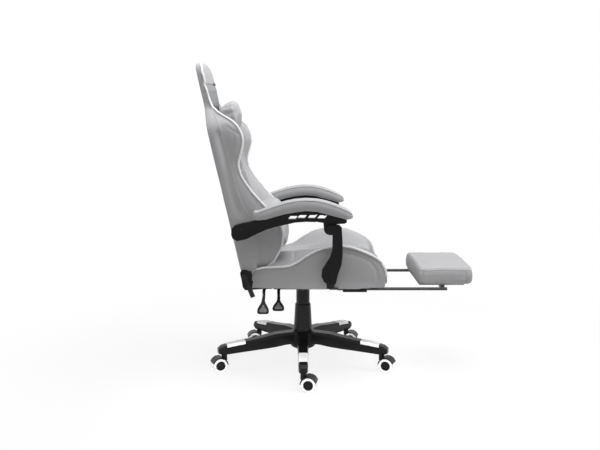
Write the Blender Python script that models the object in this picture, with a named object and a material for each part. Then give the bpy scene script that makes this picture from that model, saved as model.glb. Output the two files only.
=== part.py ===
"""Mesh gaming chair: caster base, gas column, tilting seat, reclining back with linked arms, slide-out footrest.

Lengths are metres. Places are written as (side, ahead, height) from the foot of the column: side is
towards the sitter's left, ahead is the way the sitter faces. The chair faces -Y, so ahead is -Y.
"""

import math

import bmesh
import bpy
from mathutils import Matrix, Vector

# Clearances
TOUCH_GAP = 0.0003
WELD_GAP = 0.00002
RUNNING_GAP = 0.0004
CUT_OVERRUN = 0.004
PIVOT_SIDES = 16
COLUMN_SIDES = 24
SMOOTH_ANGLE = 35

# Star base
SPOKE_COUNT = 5
STEM_CIRCLE = 0.325
SPOKE_END = 0.350
SPOKE_ROOT_WIDTH = 0.046
SPOKE_TIP_WIDTH = 0.034
SPOKE_TOP_HEIGHT = 0.139
SPOKE_BOTTOM_HEIGHT = 0.068
HUB_RADIUS = 0.050
HUB_BOTTOM = 0.072
INLAY_START = 0.243
INLAY_END = 0.316
INLAY_LIP = 0.0015
INLAY_PROUD = 0.0008
HUB_EDGE = 0.0050
SPOKE_NOSE_SHARE = 0.80
SPOKE_FOOT_SHARE = 0.80
SPOKE_SHOULDER_SHARE = 0.22
SPOKE_CREST_SHARE = 0.86

# Casters
WHEEL_RADIUS = 0.0275
WHEEL_WIDTH = 0.017
WHEEL_OFFSET = 0.0160
WHEEL_CAP_RADIUS = 0.0185
WHEEL_CAP_RECESS = 0.0012
WHEEL_EDGE = 0.0022
WHEEL_SIDES = 18
CASTER_TRAIL = 0.0215
AXLE_RADIUS = 0.0040
AXLE_LENGTH = 0.0420
STEM_RADIUS = 0.0055
STEM_DEPTH = 0.022
HOOD_WEB = 0.0120
HOOD_WALL = 0.0030
HOOD_WIDTH = 0.0480
HOOD_BOSS_RADIUS = 0.0100
HOOD_TOP = 0.0670
HOOD_START = 20
HOOD_FINISH = 175
HOOD_STEPS = 6
HOOD_CLEARANCE = 0.0012
AXLE_BOSS_RADIUS = 0.0105
BOSS_CLEAR_SHARE = 0.66
HOOD_NECK_BOTTOM = 0.0430

# Gas column and its covers
GAS_TUBE_RADIUS = 0.0250
GAS_TUBE_WALL = 0.0020
GAS_TUBE_BOTTOM = 0.060
GAS_TUBE_TOP = 0.238
GAS_CYLINDER_RADIUS = 0.0140
GAS_CYLINDER_BOTTOM = 0.080
GAS_CYLINDER_PROUD = 0.0025
UPPER_COVER_RADIUS = 0.0270
UPPER_COVER_WALL = 0.0012
UPPER_COVER_BOTTOM = 0.158
UPPER_COVER_GAP = 0.003
LOWER_COVER_TOP_RADIUS = 0.0315
LOWER_COVER_FOOT_RADIUS = 0.0372
LOWER_COVER_WALL = 0.0025
LOWER_COVER_TOP = 0.248
GAS_GUIDE_LENGTH = 0.030
COLLAR_THICKNESS = 0.0030

# Tilt mechanism under the seat
SOCKET_RADIUS = 0.0240
SOCKET_BELOW_PIN = 0.026
SOCKET_ABOVE_PIN = 0.005
TILT_AHEAD = 0.045
TILT_BELOW_SEAT = 0.0310
TILT_PIN_RADIUS = 0.0060
SOCKET_LUG_WIDTH = 0.060
SOCKET_LUG_HEIGHT = 0.026
SOCKET_LUG_REAR = 0.0190
HOUSING_WIDTH = 0.140
HOUSING_REAR = -0.115
HOUSING_FRONT = 0.095
HOUSING_BELOW_PIN = 0.012
HOUSING_WALL = 0.0040
HOUSING_TOP_WALL = 0.0050

# Seat
SEAT_BOTTOM = 0.3630
SEAT_REAR = -0.192
SEAT_LENGTH = 0.497
SEAT_PIPING_RISE = 0.160
SEAT_HALF_WIDTH = 0.260
SEAT_SEAM_SIDE = 0.172
SEAT_FRONT_BULGE = 0.032
SEAT_CENTRE_RISE = 0.086
SEAT_CROWN = 0.014
SEAT_CHANNEL_DEPTH = 0.004
SEAT_CHANNEL_AHEAD_SHARES = (0.30, 0.60)
BOARD_THICKNESS = 0.0120
BOARD_HALF_WIDTH = 0.232
BOARD_REAR = -0.178
BOARD_FRONT = 0.285
BOARD_EDGE = 0.0010
SEAT_HEM_RISE = 0.010
SEAT_CREST_RISE = 0.008
SEAT_SIDE_ROUND = 0.008
CHANNEL_WIDTH = 0.012
CROWN_STEPS = 10

# Recline hinge, arm pivots and their plates
RECLINE_AHEAD = -0.214
RECLINE_HEIGHT = 0.409
LINK_AHEAD = -0.008
LINK_RISE = 0.172
POST_PIVOT_AHEAD = 0.105
POST_PIVOT_HEIGHT = 0.416
PIVOT_PIN_RADIUS = 0.0060
BACK_PLATE_THICKNESS = 0.0045
BACK_PLATE_LUG_RADIUS = 0.0140
RECLINE_PLATE_THICKNESS = 0.0055
RECLINE_EAR_FRONT = -0.120
STRAP_THICKNESS = 0.0055
COVER_THICKNESS = 0.0110
COVER_LENGTH = 0.056
COVER_HEIGHT = 0.062
COVER_EDGE = 0.0025
COVER_SHIFT_SHARES = (0.17, -0.17)
RECLINE_EAR_RADIUS = 0.0150
LINK_STEPS = 8

# Arms
ARM_INNER_SIDE = 0.2700
ARM_LAP_THICKNESS = 0.0135
ARM_THICKNESS = 0.0270
ARM_LAP_START = 0.045
ARM_LENGTH = 0.417
ARM_RISE = 0.110
ARM_REAR = -0.259
ARM_BOTTOM = 0.548
ARM_WINDOW_HEIGHT = 0.0120
ARM_WINDOW_LENGTH = 0.0280
ARM_WINDOW_SLANT = 0.005
ARM_EDGE = 0.0018
ARM_PAD_SIDE = 0.2860
ARM_PAD_WIDTH = 0.0780
ARM_PAD_REAR = -0.182
ARM_PAD_LENGTH = 0.361
ARM_PAD_BOTTOM = 0.6225
ARM_PAD_RISE = 0.0815
POST_THICKNESS = 0.0155
POST_BOTTOM = 0.385
POST_RISE = 0.222
POST_REAR = 0.066
POST_DEPTH = 0.076
BRACKET_THICKNESS = 0.0055
BRACKET_WIDTH = 0.050
BRACKET_ABOVE_PIN = 0.020

# Back, measured up its own leaning line and out from it towards the sitter
BACK_FOOT_AHEAD = -0.223
BACK_FOOT_HEIGHT = 0.420
BACK_LEAN = 12.68
BACK_LENGTH = 0.789
BACK_HALF_WIDTH = 0.238
BACK_SEAM_SIDE = 0.150
BACK_COVER_THICKNESS = 0.0040
BACK_COVER_CROWN = 0.0100
BACK_FRAME_THICKNESS = 0.0080
WING_DEPTH = 0.1814
BACK_CENTRE_DEPTH = 0.085
BACK_CROWN = 0.010
BACK_CHANNEL_DEPTH = 0.004
BACK_CHANNEL_SHARES = (0.16, 0.32, 0.46)
HEAD_START_SHARE = 0.775
HEAD_EDGE_DEPTH = 0.0180
HEAD_CROWN = 0.0160
HEAD_HALF_WIDTH = 0.150
BACK_TAB_LOW = 0.004
BACK_TAB_HIGH = 0.066
NECK_PILLOW_UP = 0.575
NECK_PILLOW_HEIGHT = 0.118
NECK_PILLOW_WIDTH = 0.270
NECK_PILLOW_THICKNESS = 0.060
NECK_PILLOW_SETTLE = 0.0016
NECK_STRAP_RISE = 0.0785
NECK_STRAP_WIDTH = 0.026
NECK_STRAP_THICKNESS = 0.0015
LUMBAR_UP = 0.130
LUMBAR_HEIGHT = 0.190
LUMBAR_WIDTH = 0.272
LUMBAR_THICKNESS = 0.090
PILLOW_SIDES = 32
PILLOW_POWER = 4
PILLOW_DRAW_SHARE = 0.03

# Levers
LEVER_WIRE_RADIUS = 0.0055
LEVER_ROOT_SHARE = 0.40
LEVER_ABOVE_HOUSING = 0.0100
LEVER_BEND_SIDE = 0.200
LEVER_BEND_DROP = 0.0120
LEVER_END_SIDE = 0.290
LEVER_END_DROP = 0.0600
PADDLE_LENGTH = 0.075
PADDLE_WIDTH = 0.043
PADDLE_THICKNESS = 0.011
HEIGHT_LEVER_AHEAD = -0.091
TILT_LEVER_AHEAD = -0.147
TILT_LEVER_ROOT_AHEAD = -0.105
RECLINE_LEVER_LENGTH = 0.078
RECLINE_LEVER_WIDTH = 0.013
RECLINE_LEVER_THICKNESS = 0.0045
RECLINE_LEVER_BOSS = 0.012
RECLINE_LEVER_ANGLE = 22
SLEEVE_LENGTH = 0.030
SLEEVE_PROUD = 0.0020
PADDLE_EDGE = 0.0030

# Footrest
ROD_RADIUS = 0.0060
BAR_RADIUS = 0.0056
ROD_SIDE = 0.178
ROD_BELOW_SEAT = 0.0160
ROD_REAR = 0.130
ROD_FRONT = 0.534
ROD_NOSE = 0.010
GUIDE_REAR = 0.150
GUIDE_FRONT = 0.240
GUIDE_WIDTH = 0.030
GUIDE_BELOW_ROD = 0.0095
FOOTREST_REAR = 0.422
FOOTREST_LENGTH = 0.209
FOOTREST_HALF_WIDTH = 0.186
FOOTREST_ABOVE_ROD = 0.0160
FOOTREST_THICKNESS = 0.074
FOOTREST_PLATE_THICKNESS = 0.005
FOOTREST_PLATE_LENGTH = 0.170
FOOTREST_PLATE_HALF_WIDTH = 0.160
FOOTREST_LUG_SIDE = 0.120
FOOTREST_LUG_WIDTH = 0.020
FOOTREST_LUG_WALL = 0.0045

# Outlines, as shares of the sizes they follow
SPOKE_PROFILE_SHARES = (
    # (outward share of the spoke's end, top share, bottom share of the spoke's rise)
    (0.10, 0.98, 0.28),
    (0.22, 0.97, 0.26),
    (0.34, 0.94, 0.18),
    (0.47, 0.83, 0.13),
    (0.63, 0.72, 0.09),
    (0.80, 0.63, 0.04),
    (0.89, 0.56, 0.01),
    (0.96, 0.48, 0.01),
    (1.00, 0.34, 0.08),
)
SEAT_PIPING_SHARES = (
    # (share of the seat's length, share of the piping's rise)
    (0.000, 0.270),
    (0.016, 0.406),
    (0.044, 0.450),
    (0.111, 0.490),
    (0.237, 0.515),
    (0.290, 0.544),
    (0.340, 0.625),
    (0.406, 0.769),
    (0.481, 0.894),
    (0.547, 0.956),
    (0.620, 0.994),
    (0.686, 1.000),
    (0.771, 0.950),
    (0.847, 0.856),
    (0.922, 0.737),
    (0.968, 0.619),
    (0.994, 0.440),
    (1.000, 0.290),
)
SEAT_CENTRE_SHARES = (
    # (share of the seat's length and bulge, share of the centre's rise)
    (0.000, 0.46),
    (0.012, 0.64),
    (0.050, 0.74),
    (0.150, 0.79),
    (0.300, 0.83),
    (0.450, 0.90),
    (0.600, 0.97),
    (0.720, 1.00),
    (0.820, 0.98),
    (0.900, 0.90),
    (0.955, 0.76),
    (0.985, 0.58),
    (1.000, 0.36),
)
WING_SHARES = (
    # (share of the back's length, share of its half width, share of the wing's depth)
    (0.008, 0.880, 0.380),
    (0.014, 0.930, 0.498),
    (0.031, 0.960, 0.686),
    (0.062, 0.985, 0.840),
    (0.091, 1.000, 0.931),
    (0.144, 1.000, 1.000),
    (0.183, 1.000, 0.981),
    (0.230, 1.000, 0.880),
    (0.276, 1.000, 0.767),
    (0.335, 1.000, 0.622),
    (0.372, 1.000, 0.534),
    (0.414, 1.000, 0.456),
    (0.454, 1.004, 0.405),
    (0.492, 1.012, 0.413),
    (0.518, 1.021, 0.451),
    (0.550, 1.034, 0.533),
    (0.589, 1.042, 0.616),
    (0.625, 1.042, 0.628),
    (0.665, 1.030, 0.588),
    (0.696, 0.990, 0.501),
    (0.715, 0.930, 0.400),
    (0.748, 0.800, 0.235),
    (0.781, 0.690, 0.143),
)
BACK_CENTRE_SHARES = (
    # (share of the back's length, share of the centre's depth)
    (0.014, 0.60),
    (0.022, 0.84),
    (0.055, 0.97),
    (0.120, 1.00),
    (0.200, 0.98),
    (0.300, 0.88),
    (0.400, 0.75),
    (0.500, 0.64),
    (0.600, 0.52),
    (0.680, 0.38),
    (0.740, 0.27),
    (0.770, 0.22),
)
BACK_WIDTH_SHARES = (
    # (share of the back's length, share of its half width) of the frame and the rear panel
    (-0.008, 0.720),
    (0.000, 0.900),
    (0.040, 1.000),
    (0.100, 1.000),
    (0.440, 1.000),
    (0.560, 1.020),
    (0.650, 1.020),
    (0.700, 0.960),
    (0.750, 0.780),
    (0.790, 0.630),
    (0.850, 0.618),
    (0.930, 0.610),
    (0.970, 0.570),
    (0.990, 0.460),
    (0.998, 0.300),
)
HEAD_SHARES = (
    # (share of the back's length, share of the head's depth, share of its half width)
    (0.775, 0.60, 0.960),
    (0.785, 0.90, 0.990),
    (0.820, 1.00, 1.000),
    (0.860, 1.00, 1.000),
    (0.900, 1.00, 0.995),
    (0.940, 0.97, 0.980),
    (0.970, 0.90, 0.930),
    (0.988, 0.80, 0.800),
    (0.997, 0.70, 0.600),
)
ARM_LOWER_SHARES = (
    # (share of the arm's length, share of its rise), from the hub's top round below to the front tip
    (0.079, 0.573),
    (0.026, 0.500),
    (0.002, 0.400),
    (0.000, 0.210),
    (0.012, 0.080),
    (0.050, 0.000),
    (0.130, 0.065),
    (0.206, 0.210),
    (0.293, 0.365),
    (0.379, 0.464),
    (0.465, 0.537),
    (0.549, 0.610),
    (0.645, 0.637),
    (0.729, 0.627),
    (0.795, 0.585),
    (0.800, 0.330),
    (0.816, 0.230),
    (0.852, 0.175),
    (0.890, 0.230),
    (0.906, 0.330),
    (0.912, 0.545),
    (0.978, 0.560),
    (0.998, 0.605),
)
ARM_WINDOW_SHARES = ((0.533, 0.775), (0.612, 0.805), (0.700, 0.805), (0.785, 0.785))
ARM_PAD_SHARES = (
    # (share of the pad's length, underside and top as shares of its rise, share of its width)
    (0.000, 0.040, 0.170, 0.55),
    (0.036, 0.014, 0.411, 0.86),
    (0.125, 0.055, 0.583, 1.00),
    (0.224, 0.178, 0.742, 1.00),
    (0.324, 0.300, 0.877, 1.00),
    (0.421, 0.387, 0.963, 1.00),
    (0.532, 0.436, 1.000, 1.00),
    (0.640, 0.405, 0.975, 1.00),
    (0.748, 0.276, 0.877, 1.00),
    (0.848, 0.165, 0.718, 0.98),
    (0.936, 0.040, 0.534, 0.88),
    (0.985, 0.090, 0.370, 0.68),
    (1.000, 0.140, 0.230, 0.50),
)
ARM_PAD_SECTION_SHARES = (
    # (share of the pad's half width, share of its rise), round it from below
    (-0.80, 0.0),
    (0.80, 0.0),
    (0.97, 0.22),
    (1.00, 0.50),
    (0.88, 0.84),
    (0.50, 0.98),
    (0.0, 1.0),
    (-0.50, 0.98),
    (-0.88, 0.84),
    (-1.00, 0.50),
    (-0.97, 0.22),
)
BOLSTER_SIDE_SHARES = (0.30, 0.75)
BOLSTER_TOP_SHARES = (
    # (share of the bolster's width in from its side, share of the fall from its crest to the seam)
    (0.30, 0.0),
    (0.55, 0.22),
    (0.84, 0.75),
)
SEAT_SIDE_SHARES = (
    # (share of the seat's length, share of its half width)
    (0.00, 0.915),
    (0.12, 0.930),
    (0.30, 0.985),
    (0.50, 1.000),
    (0.85, 1.000),
    (1.00, 0.975),
)
POST_OUTLINE_SHARES = (
    # (share of the post's depth, share of its rise), round the post from its foot
    (0.360, 0.005),
    (0.590, 0.000),
    (0.690, 0.040),
    (0.780, 0.180),
    (0.945, 0.347),
    (1.000, 0.514),
    (0.985, 0.757),
    (0.945, 0.960),
    (0.830, 1.000),
    (0.330, 1.000),
    (0.225, 0.960),
    (0.225, 0.895),
    (0.340, 0.850),
    (0.510, 0.835),
    (0.510, 0.595),
    (0.395, 0.464),
    (0.210, 0.365),
    (0.030, 0.265),
    (0.000, 0.150),
    (0.120, 0.063),
)
PILLOW_LEVEL_SHARES = (
    # (share of the thickness, how far in from the rim as a share of the half width)
    (0.00, 0.130),
    (0.07, 0.040),
    (0.22, 0.000),
    (0.58, 0.000),
    (0.80, 0.035),
    (0.92, 0.110),
    (0.98, 0.260),
    (1.00, 0.550),
)
TRAIL_SHARES = (
    # Which way each caster trails, as (ahead, towards the sitter's right)
    (0.985, 0.170),
    (0.930, 0.370),
    (0.980, 0.200),
    (-0.985, 0.170),
    (-0.930, 0.370),
)

# Colours as (red, green, blue), with roughness and metallic
FINISHES = {
    "light_fabric": ((0.52, 0.52, 0.53), 0.85, 0.0),
    "mesh_fabric": ((0.40, 0.40, 0.41), 0.90, 0.0),
    "pale_plastic": ((0.86, 0.86, 0.85), 0.35, 0.0),
    "black_plastic": ((0.02, 0.02, 0.022), 0.35, 0.0),
    "dark_steel": ((0.10, 0.10, 0.11), 0.40, 0.8),
    "bright_steel": ((0.62, 0.62, 0.63), 0.25, 1.0),
    "board": ((0.30, 0.24, 0.17), 0.80, 0.0),
    "elastic": ((0.48, 0.48, 0.49), 0.85, 0.0),
}

# Places worked out from the sizes
SPOKE_RISE = SPOKE_TOP_HEIGHT - SPOKE_BOTTOM_HEIGHT
TILT_HEIGHT = SEAT_BOTTOM - TILT_BELOW_SEAT
HOUSING_BOTTOM = TILT_HEIGHT - HOUSING_BELOW_PIN
SOCKET_BOTTOM = TILT_HEIGHT - SOCKET_BELOW_PIN
SOCKET_TOP = TILT_HEIGHT + SOCKET_ABOVE_PIN
GAS_CYLINDER_TOP = SOCKET_TOP + GAS_CYLINDER_PROUD
UPPER_COVER_TOP = SOCKET_BOTTOM - UPPER_COVER_GAP
LEVER_ROOT_HEIGHT = HOUSING_BOTTOM + LEVER_ABOVE_HOUSING
LEVER_BEND_HEIGHT = LEVER_ROOT_HEIGHT - LEVER_BEND_DROP
LEVER_END_HEIGHT = LEVER_ROOT_HEIGHT - LEVER_END_DROP
ROD_HEIGHT = SEAT_BOTTOM - ROD_BELOW_SEAT
GUIDE_BOTTOM = ROD_HEIGHT - GUIDE_BELOW_ROD
FOOTREST_BOTTOM = ROD_HEIGHT + FOOTREST_ABOVE_ROD
BACK_FRAME_OUT = BACK_COVER_THICKNESS + TOUCH_GAP
BACK_PAD_OUT = BACK_FRAME_OUT + BACK_FRAME_THICKNESS + TOUCH_GAP
LEAN_SIN = math.sin(math.radians(BACK_LEAN))
LEAN_COS = math.cos(math.radians(BACK_LEAN))
NECK_STRAP_UP = HEAD_START_SHARE * BACK_LENGTH + NECK_STRAP_RISE
BACK_TOP_REACH = BACK_LENGTH * LEAN_SIN + BACK_COVER_CROWN * LEAN_COS - BACK_FOOT_AHEAD
CASTER_REACH = STEM_CIRCLE + WHEEL_OFFSET + WHEEL_WIDTH / 2 + (CASTER_TRAIL + WHEEL_RADIUS) * TRAIL_SHARES[0][1]
ARM_REACH = ARM_PAD_SIDE + ARM_PAD_WIDTH / 2
COLUMN_X = (CASTER_REACH - ARM_REACH) / 2
COLUMN_Y = (FOOTREST_REAR + FOOTREST_LENGTH - BACK_TOP_REACH) / 2

RECLINE_POINT = (0, RECLINE_AHEAD, RECLINE_HEIGHT)
ARM_POINT = (0, RECLINE_AHEAD + LINK_AHEAD, RECLINE_HEIGHT + LINK_RISE)
POST_POINT = (0, POST_PIVOT_AHEAD, POST_PIVOT_HEIGHT)
KNUCKLE_POINT = (0, POST_PIVOT_AHEAD + LINK_AHEAD, POST_PIVOT_HEIGHT + LINK_RISE)
TILT_POINT = (0, TILT_AHEAD, TILT_HEIGHT)
FOOTREST_POINT = (0, ROD_FRONT, ROD_HEIGHT)
COLUMN_POINT = (0, 0, 0)

for old in list(bpy.data.objects):
    bpy.data.objects.remove(old)

chair = bpy.data.objects.new("chair", None)
bpy.context.scene.collection.objects.link(chair)
chair.location = (COLUMN_X, COLUMN_Y, 0)


def place(side, ahead, height):
    return Vector((side, -ahead, height))


def back_place(side, up, out):
    """A point of the back: up its leaning line and out towards the sitter."""
    ahead = BACK_FOOT_AHEAD - up * LEAN_SIN + out * LEAN_COS
    return place(side, ahead, BACK_FOOT_HEIGHT + up * LEAN_COS + out * LEAN_SIN)


def bore_radius(pin_radius, sides=PIVOT_SIDES):
    """A faceted bore's corner radius that lets a faceted pin of this radius turn in it."""
    return (pin_radius + RUNNING_GAP) / math.cos(math.pi / sides)


def finish(name):
    found = bpy.data.materials.get(name)
    if found:
        return found
    colour, roughness, metallic = FINISHES[name]
    material = bpy.data.materials.new(name)
    material.use_nodes = True
    shader = material.node_tree.nodes["Principled BSDF"]
    shader.inputs["Base Color"].default_value = (*colour, 1)
    shader.inputs["Roughness"].default_value = roughness
    shader.inputs["Metallic"].default_value = metallic
    material.diffuse_color = (*colour, 1)
    return material


def add(name, mesh, material, pivot=COLUMN_POINT, parent=chair):
    """Makes the named piece from a bmesh drawn in the chair's places, with its origin at the pivot."""
    origin = place(*pivot)
    bmesh.ops.translate(mesh, verts=mesh.verts, vec=-origin)
    bmesh.ops.recalc_face_normals(mesh, faces=mesh.faces)
    data = bpy.data.meshes.new(name)
    mesh.to_mesh(data)
    mesh.free()
    data.materials.append(finish(material))
    data.shade_smooth()
    data.set_sharp_from_angle(angle=math.radians(SMOOTH_ANGLE))
    piece = bpy.data.objects.new(name, data)
    piece.parent = parent
    piece.location = origin
    bpy.context.scene.collection.objects.link(piece)
    return piece


def tool(mesh):
    """A body used only to cut or extend another piece."""
    return add("tool", mesh, "dark_steel")


def shape(piece, tools, operation="DIFFERENCE"):
    """Cuts the tools out of the piece, or joins them to it, and removes them."""
    for tool in tools:
        modifier = piece.modifiers.new(tool.name, "BOOLEAN")
        modifier.object = tool
        modifier.operation = operation
        modifier.solver = "EXACT"
    bpy.context.view_layer.update()
    graph = bpy.context.evaluated_depsgraph_get()
    data = bpy.data.meshes.new_from_object(piece.evaluated_get(graph))
    piece.modifiers.clear()
    piece.data = data
    mesh = bmesh.new()
    mesh.from_mesh(data)
    bmesh.ops.remove_doubles(mesh, verts=mesh.verts, dist=WELD_GAP)
    bmesh.ops.dissolve_degenerate(mesh, edges=mesh.edges, dist=WELD_GAP)
    mesh.to_mesh(data)
    mesh.free()
    data.set_sharp_from_angle(angle=math.radians(SMOOTH_ANGLE))
    for tool in tools:
        bpy.data.objects.remove(tool)
    return piece


def merged(meshes):
    """One bmesh holding all of these."""
    whole = bmesh.new()
    for part in meshes:
        data = bpy.data.meshes.new("part")
        part.to_mesh(data)
        part.free()
        whole.from_mesh(data)
        bpy.data.meshes.remove(data)
    return whole


def mirrored(mesh):
    """The same shape on the sitter's other side."""
    bmesh.ops.scale(mesh, verts=mesh.verts, vec=(-1, 1, 1))
    bmesh.ops.reverse_faces(mesh, faces=mesh.faces)
    return mesh


def loft(rings, closed_loop=False):
    """A closed skin through rings of equally many points, capped at both ends."""
    mesh = bmesh.new()
    rows = [[mesh.verts.new(point) for point in ring] for ring in rings]
    count = len(rows[0])
    pairs = list(zip(rows, rows[1:]))
    if closed_loop:
        pairs.append((rows[-1], rows[0]))
    for low, high in pairs:
        for i in range(count):
            j = (i + 1) % count
            mesh.faces.new((low[i], low[j], high[j], high[i]))
    if not closed_loop:
        mesh.faces.new(list(reversed(rows[0])))
        mesh.faces.new(rows[-1])
    return mesh


def turned(profile, sides, start_angle=0.0):
    """A closed (radius, height) outline turned about the vertical axis; a radius of 0 lies on the axis."""
    mesh = bmesh.new()
    columns = []
    for radius, height in profile:
        if radius == 0:
            columns.append([mesh.verts.new((0, 0, height))] * sides)
            continue
        angles = [start_angle + 2 * math.pi * i / sides for i in range(sides)]
        columns.append([mesh.verts.new((radius * math.cos(a), radius * math.sin(a), height)) for a in angles])
    closed = profile[0][0] > 0
    pairs = list(zip(columns, columns[1:]))
    if closed:
        pairs.append((columns[-1], columns[0]))
    for low, high in pairs:
        for i in range(sides):
            j = (i + 1) % sides
            corners = []
            for corner in (low[i], low[j], high[j], high[i]):
                if corner not in corners:
                    corners.append(corner)
            if len(corners) > 2:
                mesh.faces.new(corners)
    return mesh


def moved(mesh, matrix):
    bmesh.ops.transform(mesh, matrix=matrix, verts=mesh.verts)
    return mesh


def across(mesh, side, ahead, height):
    """Lays a shape drawn about the vertical axis along the side-to-side axis, its foot at side."""
    turn = Matrix.Translation(place(side, ahead, height)) @ Matrix.Rotation(math.pi / 2, 4, "Y")
    return moved(mesh, turn)


def cylinder_across(radius, side_from, side_to, ahead, height, sides=PIVOT_SIDES):
    length = side_to - side_from
    shape = turned(((0, 0), (radius, 0), (radius, length), (0, length)), sides, math.pi / sides)
    return across(shape, side_from, ahead, height)


def cylinder_up(radius, low, high, side=0.0, ahead=0.0, sides=PIVOT_SIDES):
    shape = turned(((0, low), (radius, low), (radius, high), (0, high)), sides, math.pi / sides)
    return moved(shape, Matrix.Translation(place(side, ahead, 0)))


def block(side_low, side_high, rear, front, bottom, top, edge=0.0):
    """A rectangular block, with its corners eased by edge."""
    mesh = bmesh.new()
    bmesh.ops.create_cube(mesh, size=1)
    size = (side_high - side_low, front - rear, top - bottom)
    bmesh.ops.scale(mesh, vec=size, verts=mesh.verts)
    middle = place((side_low + side_high) / 2, (rear + front) / 2, (bottom + top) / 2)
    bmesh.ops.translate(mesh, vec=middle, verts=mesh.verts)
    if edge:
        bmesh.ops.bevel(mesh, geom=mesh.edges[:], offset=edge, segments=1, affect="EDGES")
    return mesh


def plate(outline, side_low, side_high):
    """An (ahead, height) outline given a thickness from side to side."""
    return loft([[place(side, ahead, height) for ahead, height in outline] for side in (side_low, side_high)])


def softened_plate(outline, side_low, side_high, edge):
    """A plate whose outer rim is drawn in by edge at both faces."""
    count = len(outline)
    inner = []
    for i, (ahead, height) in enumerate(outline):
        before = Vector(outline[i - 1])
        after = Vector(outline[(i + 1) % count])
        along = (after - before).normalized()
        inner.append((ahead - along.y * edge, height + along.x * edge))
    rings = (
        (side_low, inner),
        (side_low + edge, outline),
        (side_high - edge, outline),
        (side_high, inner),
    )
    return loft([[place(side, a, h) for a, h in points] for side, points in rings])


def scaled_outline(shares, rear, length, bottom, rise):
    return [(rear + a * length, bottom + h * rise) for a, h in shares]


def read(shares, at, column=1):
    """The value of a table of shares at a place between its rows."""
    for low, high in zip(shares, shares[1:]):
        if at <= high[0]:
            t = (at - low[0]) / (high[0] - low[0])
            t = max(t, 0.0)
            return low[column] + t * (high[column] - low[column])
    return shares[-1][column]


def groove(at, lines, width):
    """1 in the middle of a sewn line and 0 away from it."""
    nearest = min(abs(at - line) for line in lines)
    return math.exp(-((nearest / width) ** 2))


def spoke_size(outward):
    """A spoke's half width, underside, shoulder and top at a distance from the column."""
    share = outward / SPOKE_END
    half = (SPOKE_ROOT_WIDTH + (SPOKE_TIP_WIDTH - SPOKE_ROOT_WIDTH) * share) / 2
    high = SPOKE_BOTTOM_HEIGHT + SPOKE_RISE * read(SPOKE_PROFILE_SHARES, share, 1)
    low = SPOKE_BOTTOM_HEIGHT + SPOKE_RISE * read(SPOKE_PROFILE_SHARES, share, 2)
    return half, low, high - (high - low) * SPOKE_SHOULDER_SHARE, high


def spoke_mesh():
    """One spoke along +X: a hollow-shouldered beam that falls and narrows towards its caster."""
    rings = []
    for outward_share, *_ in SPOKE_PROFILE_SHARES:
        outward = outward_share * SPOKE_END
        half, low, shoulder, high = spoke_size(outward)
        if outward_share == 1.0:
            half *= SPOKE_NOSE_SHARE
        section = (
            (-half * SPOKE_FOOT_SHARE, low),
            (half * SPOKE_FOOT_SHARE, low),
            (half, low + high - shoulder),
            (half, shoulder),
            (half * SPOKE_CREST_SHARE, high),
            (-half * SPOKE_CREST_SHARE, high),
            (-half, shoulder),
            (-half, low + high - shoulder),
        )
        rings.append([Vector((outward, across_spoke, z)) for across_spoke, z in section])
    return loft(rings)


def inlay_mesh(clear):
    """The pale cap over a spoke's top and shoulders, or with a clearance the room that it takes."""
    breaks = [share[0] * SPOKE_END for share in SPOKE_PROFILE_SHARES]
    stations = [INLAY_START - clear]
    stations += [outward for outward in breaks if INLAY_START < outward < INLAY_END]
    stations.append(INLAY_END + clear)
    rings = []
    for outward in stations:
        half, _, shoulder, high = spoke_size(outward)
        foot = shoulder - INLAY_LIP - clear
        if clear:
            half, high = half + CUT_OVERRUN, high + CUT_OVERRUN
            section = ((-half, foot), (half, foot), (half, high), (-half, high))
        else:
            crest, top = half * SPOKE_CREST_SHARE, high + INLAY_PROUD
            section = ((-half, foot), (half, foot), (half, shoulder), (crest, top), (-crest, top), (-half, shoulder))
        rings.append([Vector((outward, across_spoke, z)) for across_spoke, z in section])
    return loft(rings)


def spoke_turn(number):
    """The turn that lays a shape drawn along +X along the numbered spoke; the first points to the right."""
    return Matrix.Rotation(math.pi + 2 * math.pi * number / SPOKE_COUNT, 4, "Z")


# Star base: a moulded hub and five spokes, with a pale cap let in over the top of each
hub_bore = GAS_TUBE_RADIUS + TOUCH_GAP
hub_profile = (
    (hub_bore, HUB_BOTTOM),
    (HUB_RADIUS - HUB_EDGE, HUB_BOTTOM),
    (HUB_RADIUS, HUB_BOTTOM + HUB_EDGE),
    (HUB_RADIUS, SPOKE_TOP_HEIGHT - HUB_EDGE),
    (HUB_RADIUS - HUB_EDGE, SPOKE_TOP_HEIGHT),
    (hub_bore, SPOKE_TOP_HEIGHT),
)
star_base = add("star_base", turned(hub_profile, COLUMN_SIDES), "black_plastic")
shape(star_base, [tool(moved(spoke_mesh(), spoke_turn(i))) for i in range(SPOKE_COUNT)], "UNION")
stem_top = HOOD_TOP + TOUCH_GAP + STEM_DEPTH
base_cuts = []
for i in range(SPOKE_COUNT):
    base_cuts.append(tool(moved(inlay_mesh(TOUCH_GAP), spoke_turn(i))))
    socket = turned(
        (
            (0, SPOKE_BOTTOM_HEIGHT - CUT_OVERRUN),
            (bore_radius(STEM_RADIUS), SPOKE_BOTTOM_HEIGHT - CUT_OVERRUN),
            (bore_radius(STEM_RADIUS), stem_top + RUNNING_GAP),
            (0, stem_top + RUNNING_GAP),
        ),
        PIVOT_SIDES,
    )
    base_cuts.append(tool(moved(socket, spoke_turn(i) @ Matrix.Translation((STEM_CIRCLE, 0, 0)))))
shape(star_base, base_cuts)
for i in range(SPOKE_COUNT):
    add(f"spoke_inlay_{i + 1}", moved(inlay_mesh(0), spoke_turn(i)), "pale_plastic")


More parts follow.
